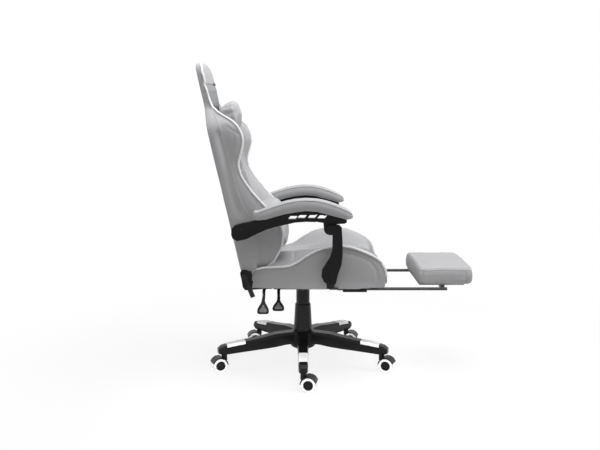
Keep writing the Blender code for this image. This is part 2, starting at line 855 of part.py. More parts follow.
# Casters: each a hood moulded round its steel stem and axle, and two wheels that turn on their own
def arc_points(radius, start, end, steps):
    angles = [math.radians(start + (end - start) * i / steps) for i in range(steps + 1)]
    return [(CASTER_TRAIL + radius * math.cos(a), WHEEL_RADIUS + radius * math.sin(a)) for a in angles]


def slab(outline, half_width):
    """An (along, height) outline in a caster's own frame, given a width across it."""
    return loft([[Vector((x, y, z)) for x, z in outline] for y in (-half_width, half_width)])


wheel_corner = WHEEL_RADIUS / math.cos(math.pi / WHEEL_SIDES)
hood_inner = wheel_corner + HOOD_CLEARANCE
hood_outer = hood_inner + HOOD_WALL
fender = arc_points(hood_outer, HOOD_START, HOOD_FINISH, HOOD_STEPS)
fender += reversed(arc_points(hood_inner, HOOD_START, HOOD_FINISH, HOOD_STEPS))
web = arc_points(hood_inner + HOOD_WALL / 2, HOOD_START, HOOD_FINISH, HOOD_STEPS)
web += arc_points(AXLE_BOSS_RADIUS, 200, 340, 4)
def lying(mesh, side):
    """Lays a shape drawn about the vertical axis along a caster's axle, its foot at side."""
    lay = Matrix.Translation((CASTER_TRAIL, side, WHEEL_RADIUS)) @ Matrix.Rotation(-math.pi / 2, 4, "X")
    return moved(mesh, lay)


def caster_rod(radius, from_side, to_side, sides=PIVOT_SIDES):
    length = to_side - from_side
    return lying(turned(((0, 0), (radius, 0), (radius, length), (0, length)), sides, math.pi / sides), from_side)


hood = add("caster_hood", slab(fender, HOOD_WIDTH / 2), "black_plastic")
boss_reach = CASTER_TRAIL - HOOD_BOSS_RADIUS * BOSS_CLEAR_SHARE
boss_bottom = WHEEL_RADIUS + math.sqrt(hood_inner**2 - boss_reach**2)
boss = cylinder_up(HOOD_BOSS_RADIUS, boss_bottom, HOOD_TOP)
neck_half = HOOD_BOSS_RADIUS - TOUCH_GAP
neck = [
    (-neck_half, HOOD_NECK_BOTTOM),
    (neck_half, HOOD_NECK_BOTTOM),
    (neck_half, HOOD_TOP - HOOD_WALL),
    (-neck_half, HOOD_TOP - HOOD_WALL),
]
neck_slab = slab(neck, HOOD_WEB / 2 - TOUCH_GAP)
shape(hood, [tool(slab(web, HOOD_WEB / 2)), tool(neck_slab), tool(boss)], "UNION")
stem = cylinder_up(STEM_RADIUS, HOOD_TOP - HOOD_WALL, stem_top)
axle = caster_rod(AXLE_RADIUS, -AXLE_LENGTH / 2, AXLE_LENGTH / 2)
shape(hood, [tool(stem), tool(axle)], "UNION")
hood_data = hood.data
half_wheel = WHEEL_WIDTH / 2
wheel_bore = bore_radius(AXLE_RADIUS)
axle_reach = AXLE_LENGTH / 2 - WHEEL_OFFSET + RUNNING_GAP
wheel_profile = (
    (0, half_wheel - WHEEL_CAP_RECESS / 2),
    (WHEEL_CAP_RADIUS, half_wheel - WHEEL_CAP_RECESS),
    (WHEEL_CAP_RADIUS + WHEEL_CAP_RECESS, half_wheel),
    (wheel_corner - WHEEL_EDGE, half_wheel),
    (wheel_corner, half_wheel - WHEEL_EDGE),
    (wheel_corner, WHEEL_EDGE - half_wheel),
    (wheel_corner - WHEEL_EDGE, -half_wheel),
    (wheel_bore, -half_wheel),
    (wheel_bore, axle_reach),
    (0, axle_reach),
)
flat_down = math.pi / 2 + math.pi / WHEEL_SIDES
wheel_mesh = moved(turned(wheel_profile, WHEEL_SIDES, flat_down), Matrix.Rotation(-math.pi / 2, 4, "X"))
wheel = add("wheel", wheel_mesh, "pale_plastic")
wheel_data = wheel.data
for old in (hood, wheel):
    bpy.data.objects.remove(old)


def add_copy(name, data, parent, location=(0, 0, 0), turn=0.0):
    piece = bpy.data.objects.new(name, data)
    piece.parent = parent
    piece.location = location
    piece.rotation_euler = (0, 0, turn)
    bpy.context.scene.collection.objects.link(piece)
    return piece


for i in range(SPOKE_COUNT):
    caster = bpy.data.objects.new(f"caster_{i + 1}", None)
    bpy.context.scene.collection.objects.link(caster)
    caster.parent = chair
    caster.location = spoke_turn(i) @ Vector((STEM_CIRCLE, 0, 0))
    trail_ahead, trail_right = TRAIL_SHARES[i]
    caster.rotation_euler = (0, 0, math.atan2(-trail_ahead, -trail_right))
    add_copy(f"caster_hood_{i + 1}", hood_data, caster)
    add_copy(f"wheel_{i + 1}a", wheel_data, caster, (CASTER_TRAIL, WHEEL_OFFSET, WHEEL_RADIUS))
    add_copy(f"wheel_{i + 1}b", wheel_data, caster, (CASTER_TRAIL, -WHEEL_OFFSET, WHEEL_RADIUS), math.pi)


# Gas column: the tube stands in the hub, the cylinder slides in it, and two covers telescope round both
guide_bore = GAS_CYLINDER_RADIUS + RUNNING_GAP
tube_bore = GAS_TUBE_RADIUS - GAS_TUBE_WALL
gas_tube = (
    (0, GAS_TUBE_BOTTOM),
    (GAS_TUBE_RADIUS, GAS_TUBE_BOTTOM),
    (GAS_TUBE_RADIUS, GAS_TUBE_TOP),
    (guide_bore, GAS_TUBE_TOP),
    (guide_bore, GAS_TUBE_TOP - GAS_GUIDE_LENGTH),
    (tube_bore, GAS_TUBE_TOP - GAS_GUIDE_LENGTH),
    (tube_bore, GAS_TUBE_BOTTOM + GAS_TUBE_WALL),
    (0, GAS_TUBE_BOTTOM + GAS_TUBE_WALL),
)
add("gas_tube", turned(gas_tube, COLUMN_SIDES), "dark_steel")
gas_cylinder = (
    (0, GAS_CYLINDER_BOTTOM),
    (GAS_CYLINDER_RADIUS, GAS_CYLINDER_BOTTOM),
    (GAS_CYLINDER_RADIUS, GAS_CYLINDER_TOP),
    (0, GAS_CYLINDER_TOP),
)
add("gas_cylinder", turned(gas_cylinder, COLUMN_SIDES), "bright_steel")
collar_bore = GAS_CYLINDER_RADIUS + TOUCH_GAP
upper_cover = (
    (UPPER_COVER_RADIUS - UPPER_COVER_WALL, UPPER_COVER_BOTTOM),
    (UPPER_COVER_RADIUS, UPPER_COVER_BOTTOM),
    (UPPER_COVER_RADIUS, UPPER_COVER_TOP),
    (collar_bore, UPPER_COVER_TOP),
    (collar_bore, UPPER_COVER_TOP - COLLAR_THICKNESS),
    (UPPER_COVER_RADIUS - UPPER_COVER_WALL, UPPER_COVER_TOP - COLLAR_THICKNESS),
)
add("upper_cover", turned(upper_cover, COLUMN_SIDES), "black_plastic")
lower_cover_foot = SPOKE_TOP_HEIGHT + TOUCH_GAP
lower_cover = (
    (LOWER_COVER_FOOT_RADIUS - LOWER_COVER_WALL, lower_cover_foot),
    (LOWER_COVER_FOOT_RADIUS, lower_cover_foot),
    (LOWER_COVER_TOP_RADIUS, LOWER_COVER_TOP - LOWER_COVER_WALL),
    (LOWER_COVER_TOP_RADIUS - LOWER_COVER_WALL / 2, LOWER_COVER_TOP),
    (UPPER_COVER_RADIUS + RUNNING_GAP, LOWER_COVER_TOP),
    (UPPER_COVER_RADIUS + RUNNING_GAP, LOWER_COVER_TOP - LOWER_COVER_WALL),
    (LOWER_COVER_TOP_RADIUS - LOWER_COVER_WALL, LOWER_COVER_TOP - 2 * LOWER_COVER_WALL),
)
add("lower_cover", turned(lower_cover, COLUMN_SIDES), "black_plastic")


# Tilt mechanism: a socket block on the column, and a pressed housing under the seat that rocks on its pin
socket_bore = bore_radius(GAS_CYLINDER_RADIUS, COLUMN_SIDES)
socket_profile = (
    (socket_bore, SOCKET_BOTTOM),
    (SOCKET_RADIUS, SOCKET_BOTTOM),
    (SOCKET_RADIUS, SOCKET_TOP),
    (socket_bore, SOCKET_TOP),
)
socket = add("mechanism_socket", turned(socket_profile, COLUMN_SIDES), "dark_steel")
lug = block(
    -SOCKET_LUG_WIDTH / 2,
    SOCKET_LUG_WIDTH / 2,
    SOCKET_LUG_REAR,
    TILT_AHEAD + SOCKET_LUG_HEIGHT / 2,
    TILT_HEIGHT - SOCKET_LUG_HEIGHT / 2,
    TILT_HEIGHT + SOCKET_LUG_HEIGHT / 2,
)
shape(socket, [tool(lug)], "UNION")
pin_reach = SOCKET_LUG_WIDTH / 2 + CUT_OVERRUN
pin_cut = cylinder_across(bore_radius(TILT_PIN_RADIUS), -pin_reach, pin_reach, TILT_AHEAD, TILT_HEIGHT)
shape(socket, [tool(pin_cut)])

housing_half = HOUSING_WIDTH / 2
under_seat = SEAT_BOTTOM - TOUCH_GAP
housing = add(
    "mechanism_housing",
    block(-housing_half, housing_half, HOUSING_REAR, HOUSING_FRONT, HOUSING_BOTTOM, under_seat),
    "dark_steel",
    TILT_POINT,
)
hollow = block(
    HOUSING_WALL - housing_half,
    housing_half - HOUSING_WALL,
    HOUSING_REAR + HOUSING_WALL,
    HOUSING_FRONT - HOUSING_WALL,
    HOUSING_BOTTOM - CUT_OVERRUN,
    under_seat - HOUSING_TOP_WALL,
)
shape(housing, [tool(hollow)])
tilt_pin_half = housing_half - HOUSING_WALL - TOUCH_GAP
tilt_pin = cylinder_across(TILT_PIN_RADIUS, -tilt_pin_half, tilt_pin_half, TILT_AHEAD, TILT_HEIGHT)
add("tilt_pin", tilt_pin, "bright_steel", TILT_POINT)


# Seat: a board carries the centre cushion and a raised bolster on each side
board = block(
    -BOARD_HALF_WIDTH,
    BOARD_HALF_WIDTH,
    BOARD_REAR,
    BOARD_FRONT,
    SEAT_BOTTOM,
    SEAT_BOTTOM + BOARD_THICKNESS,
    BOARD_EDGE,
)
add("seat_board", board, "board", TILT_POINT)
board_top = SEAT_BOTTOM + BOARD_THICKNESS + TOUCH_GAP
centre_length = SEAT_LENGTH + SEAT_FRONT_BULGE


def seat_centre_edge(ahead):
    """Height of the centre cushion along its seams."""
    return SEAT_BOTTOM + SEAT_CENTRE_RISE * read(SEAT_CENTRE_SHARES, (ahead - SEAT_REAR) / centre_length)


def crowned_row(half_width, steps):
    """(side, crown share) across a cushion, from one seam to the other."""
    row = []
    for i in range(steps + 1):
        share = 2 * i / steps - 1
        row.append((share * half_width, 1 - abs(share) ** 2.4))
    return row


def seat_cushion_mesh():
    stations = {SEAT_REAR + share * centre_length for share, rise in SEAT_CENTRE_SHARES}
    for line in SEAT_CHANNEL_AHEAD_SHARES:
        middle = SEAT_REAR + line * centre_length
        stations |= {middle - CHANNEL_WIDTH, middle, middle + CHANNEL_WIDTH}
    board_end = BOARD_FRONT + TOUCH_GAP
    stations |= {board_end, board_end + TOUCH_GAP}
    lines = [SEAT_REAR + line * centre_length for line in SEAT_CHANNEL_AHEAD_SHARES]
    half = SEAT_SEAM_SIDE - TOUCH_GAP / 2
    rings = []
    for ahead in sorted(stations):
        foot = board_top if ahead <= board_end else SEAT_BOTTOM + TOUCH_GAP
        edge = seat_centre_edge(ahead)
        sunk = SEAT_CHANNEL_DEPTH * groove(ahead, lines, CHANNEL_WIDTH / 2)
        crown = SEAT_CROWN * min(1, (edge - SEAT_BOTTOM) / SEAT_CENTRE_RISE)
        ring = [place(-half, ahead, foot), place(half, ahead, foot)]
        for side, share in reversed(crowned_row(half, CROWN_STEPS)):
            ring.append(place(side, ahead, edge + crown * share - sunk))
        rings.append(ring)
    return loft(rings)


def bolster_mesh():
    """The left bolster: an upright side panel, a piped edge, and a slope down to the centre's seam."""
    rings = []
    inner = SEAT_SEAM_SIDE + TOUCH_GAP / 2
    notch = BOARD_HALF_WIDTH + TOUCH_GAP
    for share, rise in SEAT_PIPING_SHARES:
        ahead = SEAT_REAR + share * SEAT_LENGTH
        outer = SEAT_HALF_WIDTH * read(SEAT_SIDE_SHARES, share)
        piping = SEAT_BOTTOM + SEAT_PIPING_RISE * rise
        hem = SEAT_BOTTOM + TOUCH_GAP + SEAT_HEM_RISE * share
        seam = min(seat_centre_edge(ahead), piping)
        crest = piping + SEAT_CREST_RISE * min(max(share - 0.2, 0) / 0.2, 1)
        width = outer - inner
        section = [
            (inner, board_top),
            (notch, board_top),
            (notch, hem),
            (max(outer - SEAT_SIDE_ROUND, notch + TOUCH_GAP), hem),
        ]
        section += [(outer, hem + (piping - hem) * up) for up in BOLSTER_SIDE_SHARES]
        section.append((outer - SEAT_SIDE_ROUND, piping))
        section += [(outer - width * across, crest + (seam - crest) * fall) for across, fall in BOLSTER_TOP_SHARES]
        section.append((inner, seam))
        rings.append([place(side, ahead, max(height, hem if side > notch else board_top)) for side, height in section])
    return loft(rings)


add("seat_cushion", seat_cushion_mesh(), "mesh_fabric", TILT_POINT)
add("seat_bolster_left", bolster_mesh(), "light_fabric", TILT_POINT)
add("seat_bolster_right", mirrored(bolster_mesh()), "light_fabric", TILT_POINT)


def both_sides(make):
    """A group of the left piece that make returns and its mirror image on the right."""
    return merged([make(), mirrored(make())])


def circle_outline(ahead, height, radius, sides=PIVOT_SIDES, start=0.0, sweep=360.0):
    steps = sides if sweep == 360.0 else sides + 1
    angles = [math.radians(start + sweep * i / sides) for i in range(steps)]
    return [(ahead + radius * math.cos(a), height + radius * math.sin(a)) for a in angles]


def link_outline(low, low_radius, high, high_radius):
    """The outline of a flat link with a round end at each of two (side, ahead, height) points."""
    along = math.degrees(math.atan2(high[2] - low[2], high[1] - low[1]))
    outline = circle_outline(high[1], high[2], high_radius, LINK_STEPS, along - 90, 180)
    return outline + circle_outline(low[1], low[2], low_radius, LINK_STEPS, along + 90, 180)


# Recline hinge: a side plate on each edge of the back turns on a pin in a plate under the seat
back_plate_inner = BACK_HALF_WIDTH + TOUCH_GAP
back_plate_outer = back_plate_inner + BACK_PLATE_THICKNESS
recline_plate_inner = back_plate_outer + RUNNING_GAP
recline_plate_outer = recline_plate_inner + RECLINE_PLATE_THICKNESS
cover_inner = recline_plate_outer + TOUCH_GAP
cover_outer = cover_inner + COVER_THICKNESS
post_inner = ARM_INNER_SIDE + ARM_LAP_THICKNESS + 2 * RUNNING_GAP
post_outer = post_inner + POST_THICKNESS
bracket_outer = post_inner - 2 * RUNNING_GAP
bracket_inner = bracket_outer - BRACKET_THICKNESS


def rod_both(radius, side_from, side_to, point):
    """The same rod across, on both sides of the chair."""
    return tool(both_sides(lambda: cylinder_across(radius, side_from, side_to, point[1], point[2])))


def recline_ear():
    ear = circle_outline(RECLINE_AHEAD, RECLINE_HEIGHT, RECLINE_EAR_RADIUS, LINK_STEPS, 0, 180)
    ear += [
        (RECLINE_AHEAD - RECLINE_EAR_RADIUS * 0.6, SEAT_BOTTOM + STRAP_THICKNESS),
        (RECLINE_AHEAD, under_seat - STRAP_THICKNESS),
        (RECLINE_EAR_FRONT, under_seat - STRAP_THICKNESS),
        (RECLINE_EAR_FRONT, under_seat),
        (RECLINE_AHEAD + 3 * RECLINE_EAR_RADIUS, SEAT_BOTTOM + STRAP_THICKNESS),
    ]
    return plate(ear, recline_plate_inner, recline_plate_outer)


strap_low, strap_high = under_seat - STRAP_THICKNESS + TOUCH_GAP, under_seat - TOUCH_GAP / 2
half_strap = recline_plate_inner + TOUCH_GAP
recline_strap = block(-half_strap, half_strap, BOARD_REAR, HOUSING_REAR - TOUCH_GAP, strap_low, strap_high)
recline_bracket = add("recline_bracket", recline_strap, "dark_steel", TILT_POINT)
recline_pin = rod_both(PIVOT_PIN_RADIUS, back_plate_inner, recline_plate_outer - TOUCH_GAP, RECLINE_POINT)
shape(recline_bracket, [tool(both_sides(recline_ear)), recline_pin], "UNION")


def cover_mesh():
    middle_ahead = RECLINE_AHEAD + COVER_LENGTH * COVER_SHIFT_SHARES[0]
    middle_height = RECLINE_HEIGHT + COVER_HEIGHT * COVER_SHIFT_SHARES[1]
    outline = []
    steps = 2 * LINK_STEPS + 4
    for i in range(steps):
        angle = 2 * math.pi * i / steps
        along, up = math.cos(angle), math.sin(angle)
        swell = (along**4 + up**4) ** -0.25
        outline.append((middle_ahead + COVER_LENGTH / 2 * swell * along, middle_height + COVER_HEIGHT / 2 * swell * up))
    return softened_plate(outline, cover_inner, cover_outer, COVER_EDGE)


add("recline_cover_left", cover_mesh(), "black_plastic", RECLINE_POINT)
add("recline_cover_right", mirrored(cover_mesh()), "black_plastic", RECLINE_POINT)

# Arm bracket: a strap across under the board, turned up at each end to carry a post's pin
bracket_rear, bracket_front = POST_PIVOT_AHEAD - BRACKET_WIDTH / 2, POST_PIVOT_AHEAD + BRACKET_WIDTH / 2
bracket_low, bracket_top = under_seat - STRAP_THICKNESS, POST_PIVOT_HEIGHT + BRACKET_ABOVE_PIN
half_bracket = bracket_outer - TOUCH_GAP
bracket_strap = block(-half_bracket, half_bracket, HOUSING_FRONT + TOUCH_GAP, bracket_front, bracket_low, under_seat)
arm_bracket = add("arm_bracket", bracket_strap, "dark_steel", TILT_POINT)


def bracket_wall():
    return block(
        bracket_inner,
        bracket_outer,
        bracket_rear,
        bracket_front - TOUCH_GAP,
        bracket_low + TOUCH_GAP,
        bracket_top,
    )


post_pin = rod_both(PIVOT_PIN_RADIUS, bracket_inner + TOUCH_GAP, post_outer, POST_POINT)
shape(arm_bracket, [tool(both_sides(bracket_wall)), post_pin], "UNION")


# Arms: a curved link from the back's stud to the knuckle, a pad on top, and a post down to the seat
def pad_underside():
    rows = ARM_PAD_SHARES[1:-2]
    return [(ARM_PAD_REAR + a * ARM_PAD_LENGTH, ARM_PAD_BOTTOM + low * ARM_PAD_RISE) for a, low, top, width in rows]


def arm(name, turn_over):
    outline = scaled_outline(ARM_LOWER_SHARES, ARM_REAR, ARM_LENGTH, ARM_BOTTOM, ARM_RISE)
    outline += [(ahead, height - TOUCH_GAP) for ahead, height in reversed(pad_underside())]
    outer = ARM_INNER_SIDE + ARM_THICKNESS
    piece = add(name, turn_over(softened_plate(outline, ARM_INNER_SIDE, outer, ARM_EDGE)), "black_plastic", ARM_POINT)
    lap = block(
        ARM_INNER_SIDE + ARM_LAP_THICKNESS,
        outer + CUT_OVERRUN,
        ARM_LAP_START,
        ARM_REAR + ARM_LENGTH + CUT_OVERRUN,
        ARM_BOTTOM,
        ARM_BOTTOM + ARM_RISE + CUT_OVERRUN,
    )
    cuts = [tool(turn_over(lap))]
    for along, up in ARM_WINDOW_SHARES:
        middle, level = ARM_REAR + along * ARM_LENGTH, ARM_BOTTOM + up * ARM_RISE
        half, rise = ARM_WINDOW_LENGTH / 2, ARM_WINDOW_HEIGHT / 2
        window = [
            (middle - half - ARM_WINDOW_SLANT, level - rise),
            (middle + half - ARM_WINDOW_SLANT, level - rise),
            (middle + half + ARM_WINDOW_SLANT, level + rise),
            (middle - half + ARM_WINDOW_SLANT, level + rise),
        ]
        cuts.append(tool(turn_over(plate(window, ARM_INNER_SIDE - CUT_OVERRUN, outer + CUT_OVERRUN))))
    for point in (ARM_POINT, KNUCKLE_POINT):
        cuts.append(rod_both(bore_radius(PIVOT_PIN_RADIUS), ARM_INNER_SIDE - CUT_OVERRUN, outer + CUT_OVERRUN, point))
    shape(piece, cuts)
    return piece


def arm_pad_mesh():
    rings = []
    for share, low, top, width in ARM_PAD_SHARES:
        ahead = ARM_PAD_REAR + share * ARM_PAD_LENGTH
        bottom, crest = ARM_PAD_BOTTOM + low * ARM_PAD_RISE, ARM_PAD_BOTTOM + top * ARM_PAD_RISE
        rise, half = crest - bottom, ARM_PAD_WIDTH / 2 * width
        section = ARM_PAD_SECTION_SHARES
        rings.append([place(ARM_PAD_SIDE + x * half, ahead, bottom + z * rise) for x, z in section])
    return loft(rings)


def post(name, turn_over):
    outline = scaled_outline(POST_OUTLINE_SHARES, POST_REAR, POST_DEPTH, POST_BOTTOM, POST_RISE)
    body = turn_over(softened_plate(outline, post_inner, post_outer, ARM_EDGE))
    piece = add(name, body, "black_plastic", POST_POINT)
    boss_end = post_inner + POST_THICKNESS / 2
    boss = turn_over(cylinder_across(PIVOT_PIN_RADIUS, ARM_INNER_SIDE, boss_end, *KNUCKLE_POINT[1:]))
    shape(piece, [tool(boss)], "UNION")
    bore = rod_both(bore_radius(PIVOT_PIN_RADIUS), post_inner - CUT_OVERRUN, post_outer + CUT_OVERRUN, POST_POINT)
    shape(piece, [bore])
    return piece


def as_drawn(mesh):
    return mesh


for side_name, turn_over in (("left", as_drawn), ("right", mirrored)):
    arm(f"arm_{side_name}", turn_over)
    add(f"arm_pad_{side_name}", turn_over(arm_pad_mesh()), "light_fabric", ARM_POINT)
    post(f"post_{side_name}", turn_over)


# Back: a flat frame between a crowned rear panel and the cushions, all up one leaning line
def back_width(up_share):
    return BACK_HALF_WIDTH * read(BACK_WIDTH_SHARES, up_share)


def back_frame_mesh():
    rings = []
    for share, width in BACK_WIDTH_SHARES:
        half, up = width * BACK_HALF_WIDTH, share * BACK_LENGTH
        low, high = BACK_FRAME_OUT, BACK_FRAME_OUT + BACK_FRAME_THICKNESS
        rings.append([back_place(side, up, out) for side, out in ((-half, low), (half, low), (half, high), (-half, high))])
    return loft(rings)


def rear_panel_mesh():
    rings = []
    for share, width in BACK_WIDTH_SHARES:
        half, up = width * BACK_HALF_WIDTH, share * BACK_LENGTH
        ring = [back_place(half, up, BACK_COVER_THICKNESS), back_place(-half, up, BACK_COVER_THICKNESS)]
        for side, crown in crowned_row(half, CROWN_STEPS):
            ring.append(back_place(side, up, -BACK_COVER_CROWN * crown))
        rings.append(ring)
    return loft(rings)


def centre_out(up):
    return BACK_CENTRE_DEPTH * read(BACK_CENTRE_SHARES, up / BACK_LENGTH)


def back_cushion_mesh():
    lines = [share * BACK_LENGTH for share in BACK_CHANNEL_SHARES]
    stations = {share * BACK_LENGTH for share, depth in BACK_CENTRE_SHARES}
    for line in lines:
        stations |= {line - CHANNEL_WIDTH, line, line + CHANNEL_WIDTH}
    half = BACK_SEAM_SIDE - TOUCH_GAP / 2
    rings = []
    for up in sorted(stations):
        front = centre_out(up)
        sunk = BACK_CHANNEL_DEPTH * groove(up, lines, CHANNEL_WIDTH / 2)
        ring = [back_place(half, up, BACK_PAD_OUT), back_place(-half, up, BACK_PAD_OUT)]
        for side, crown in crowned_row(half, CROWN_STEPS):
            ring.append(back_place(side, up, front + BACK_CROWN * crown - sunk))
        rings.append(ring)
    return loft(rings)


def head_mesh():
    rings = []
    for share, depth, width in HEAD_SHARES:
        up, half = share * BACK_LENGTH, HEAD_HALF_WIDTH * width
        front = HEAD_EDGE_DEPTH * depth
        ring = [back_place(half, up, BACK_PAD_OUT), back_place(-half, up, BACK_PAD_OUT)]
        for side, crown in crowned_row(half, CROWN_STEPS):
            ring.append(back_place(side, up, max(front, BACK_PAD_OUT + TOUCH_GAP) + HEAD_CROWN * depth * crown))
        rings.append(ring)
    return loft(rings)


def wing_mesh():
    """The left wing: an upright outer side, a piped front edge, and a slope in to the centre's seam."""
    inner = BACK_SEAM_SIDE + TOUCH_GAP / 2
    rings = []
    for share, width, depth in WING_SHARES:
        up = share * BACK_LENGTH
        outer, front = width * BACK_HALF_WIDTH, depth * WING_DEPTH
        seam = max(min(centre_out(up), front - TOUCH_GAP), BACK_PAD_OUT + TOUCH_GAP)
        span, thick = outer - inner, front - BACK_PAD_OUT
        section = (
            (inner, BACK_PAD_OUT),
            (outer - span * 0.10, BACK_PAD_OUT),
            (outer, BACK_PAD_OUT + thick * 0.25),
            (outer, BACK_PAD_OUT + thick * 0.80),
            (outer - span * 0.08, front - thick * 0.04),
            (outer - span * 0.24, front),
            (outer - span * 0.46, front + (seam - front) * 0.14),
            (inner + span * 0.20, front + (seam - front) * 0.74),
            (inner, seam),
        )
        rings.append([back_place(side, up, out) for side, out in section])
    return loft(rings)


def side_plate():
    """Bolts the back to its hinge pin, and carries the arm's stud."""
    outline = link_outline(RECLINE_POINT, BACK_PLATE_LUG_RADIUS, ARM_POINT, BACK_PLATE_LUG_RADIUS)
    return plate(outline, back_plate_inner, back_plate_outer)


def frame_tab():
    """The frame's edge carried out into the side plate."""
    low, high = BACK_FRAME_OUT + TOUCH_GAP, BACK_FRAME_OUT + BACK_FRAME_THICKNESS - TOUCH_GAP
    inner, outer = BACK_HALF_WIDTH - BACK_FRAME_THICKNESS, back_plate_outer - TOUCH_GAP
    rings = []
    for up in (BACK_TAB_LOW, BACK_TAB_HIGH):
        rings.append([back_place(side, up, out) for side, out in ((inner, low), (outer, low), (outer, high), (inner, high))])
    return loft(rings)


back_frame = add("back_frame", back_frame_mesh(), "dark_steel", RECLINE_POINT)
arm_stud = rod_both(PIVOT_PIN_RADIUS, back_plate_inner + TOUCH_GAP, ARM_INNER_SIDE + ARM_THICKNESS, ARM_POINT)
shape(back_frame, [tool(both_sides(frame_tab)), tool(both_sides(side_plate)), arm_stud], "UNION")
hinge_bore = bore_radius(PIVOT_PIN_RADIUS)
shape(back_frame, [rod_both(hinge_bore, back_plate_inner - CUT_OVERRUN, back_plate_outer + CUT_OVERRUN, RECLINE_POINT)])
add("rear_panel", rear_panel_mesh(), "light_fabric", RECLINE_POINT)
add("back_cushion", back_cushion_mesh(), "mesh_fabric", RECLINE_POINT)
add("head_cushion", head_mesh(), "light_fabric", RECLINE_POINT)
add("back_wing_left", wing_mesh(), "light_fabric", RECLINE_POINT)
add("back_wing_right", mirrored(wing_mesh()), "light_fabric", RECLINE_POINT)


def pillow(width, length, thickness, spot):
    """A crowned pillow with rounded corners and drawn-in sides; spot places (side, along, out of its base)."""
    rings = []
    for level, inset in PILLOW_LEVEL_SHARES:
        ring = []
        for i in range(PILLOW_SIDES):
            angle = 2 * math.pi * (i + 0.5) / PILLOW_SIDES
            x, y = math.cos(angle), math.sin(angle)
            swell = (x**PILLOW_POWER + y**PILLOW_POWER) ** (-1 / PILLOW_POWER)
            drawn = 1 - PILLOW_DRAW_SHARE * (1 - abs(math.sin(2 * angle)))
            half = min(width, length) / 2
            across = swell * x * drawn * (width / 2 - inset * half)
            along = swell * y * drawn * (length / 2 - inset * half)
            ring.append(spot(across, along, level * thickness))
        rings.append(ring)
    return loft(rings)


neck_back = centre_out(NECK_PILLOW_UP - NECK_PILLOW_HEIGHT / 2) + BACK_CROWN + TOUCH_GAP - NECK_PILLOW_SETTLE
lumbar_back = BACK_CENTRE_DEPTH + BACK_CROWN + TOUCH_GAP


def neck_spot(side, up, out):
    return back_place(side, NECK_PILLOW_UP + up, neck_back + out)


def lumbar_spot(side, up, out):
    return back_place(side, LUMBAR_UP + up, lumbar_back + out)


add(
    "neck_pillow",
    pillow(NECK_PILLOW_WIDTH, NECK_PILLOW_HEIGHT, NECK_PILLOW_THICKNESS, neck_spot),
    "light_fabric",
    RECLINE_POINT,
)
add(
    "lumbar_cushion",
    pillow(LUMBAR_WIDTH, LUMBAR_HEIGHT, LUMBAR_THICKNESS, lumbar_spot),
    "light_fabric",
    RECLINE_POINT,
)


def strap_loop(up, stand_off):
    """The line of an elastic strap round the head, over its crowned front and the crowned rear panel."""
    half = HEAD_HALF_WIDTH + stand_off
    rear_half = back_width(NECK_STRAP_UP / BACK_LENGTH)
    front = [
        back_place(side * half / HEAD_HALF_WIDTH, up, HEAD_EDGE_DEPTH + HEAD_CROWN * crown + stand_off)
        for side, crown in crowned_row(HEAD_HALF_WIDTH, CROWN_STEPS)
    ]
    rear = [
        back_place(side * half / rear_half, up, -BACK_COVER_CROWN * crown - stand_off)
        for side, crown in reversed(crowned_row(rear_half, CROWN_STEPS))
    ]
    return front + rear


strap_low = NECK_STRAP_UP - NECK_STRAP_WIDTH / 2
strap_high = NECK_STRAP_UP + NECK_STRAP_WIDTH / 2
strap_outer = TOUCH_GAP + NECK_STRAP_THICKNESS
strap = loft(
    [
        strap_loop(strap_low, TOUCH_GAP),
        strap_loop(strap_low, strap_outer),
        strap_loop(strap_high, strap_outer),
        strap_loop(strap_high, TOUCH_GAP),
    ],
    closed_loop=True,
)
add("neck_strap", strap, "elastic", RECLINE_POINT)


# Levers on the sitter's right: two paddles on bent wires, and the recline lever at the rear corner
def tube(points, radius, sides=PIVOT_SIDES // 2):
    """A round wire through points that all lie in planes of constant ahead, or nearly so."""
    rings = []
    for i, point in enumerate(points):
        before = points[max(i - 1, 0)]
        after = points[min(i + 1, len(points) - 1)]
        along = (after - before).normalized()
        first = along.cross(Vector((0, 1, 0))).normalized()
        second = along.cross(first)
        angles = [2 * math.pi * (j + 0.5) / sides for j in range(sides)]
        size = radius * (LEVER_ROOT_SHARE if i == 0 else 1)
        rings.append([point + size * (math.cos(a) * first + math.sin(a) * second) for a in angles])
    return loft(rings)


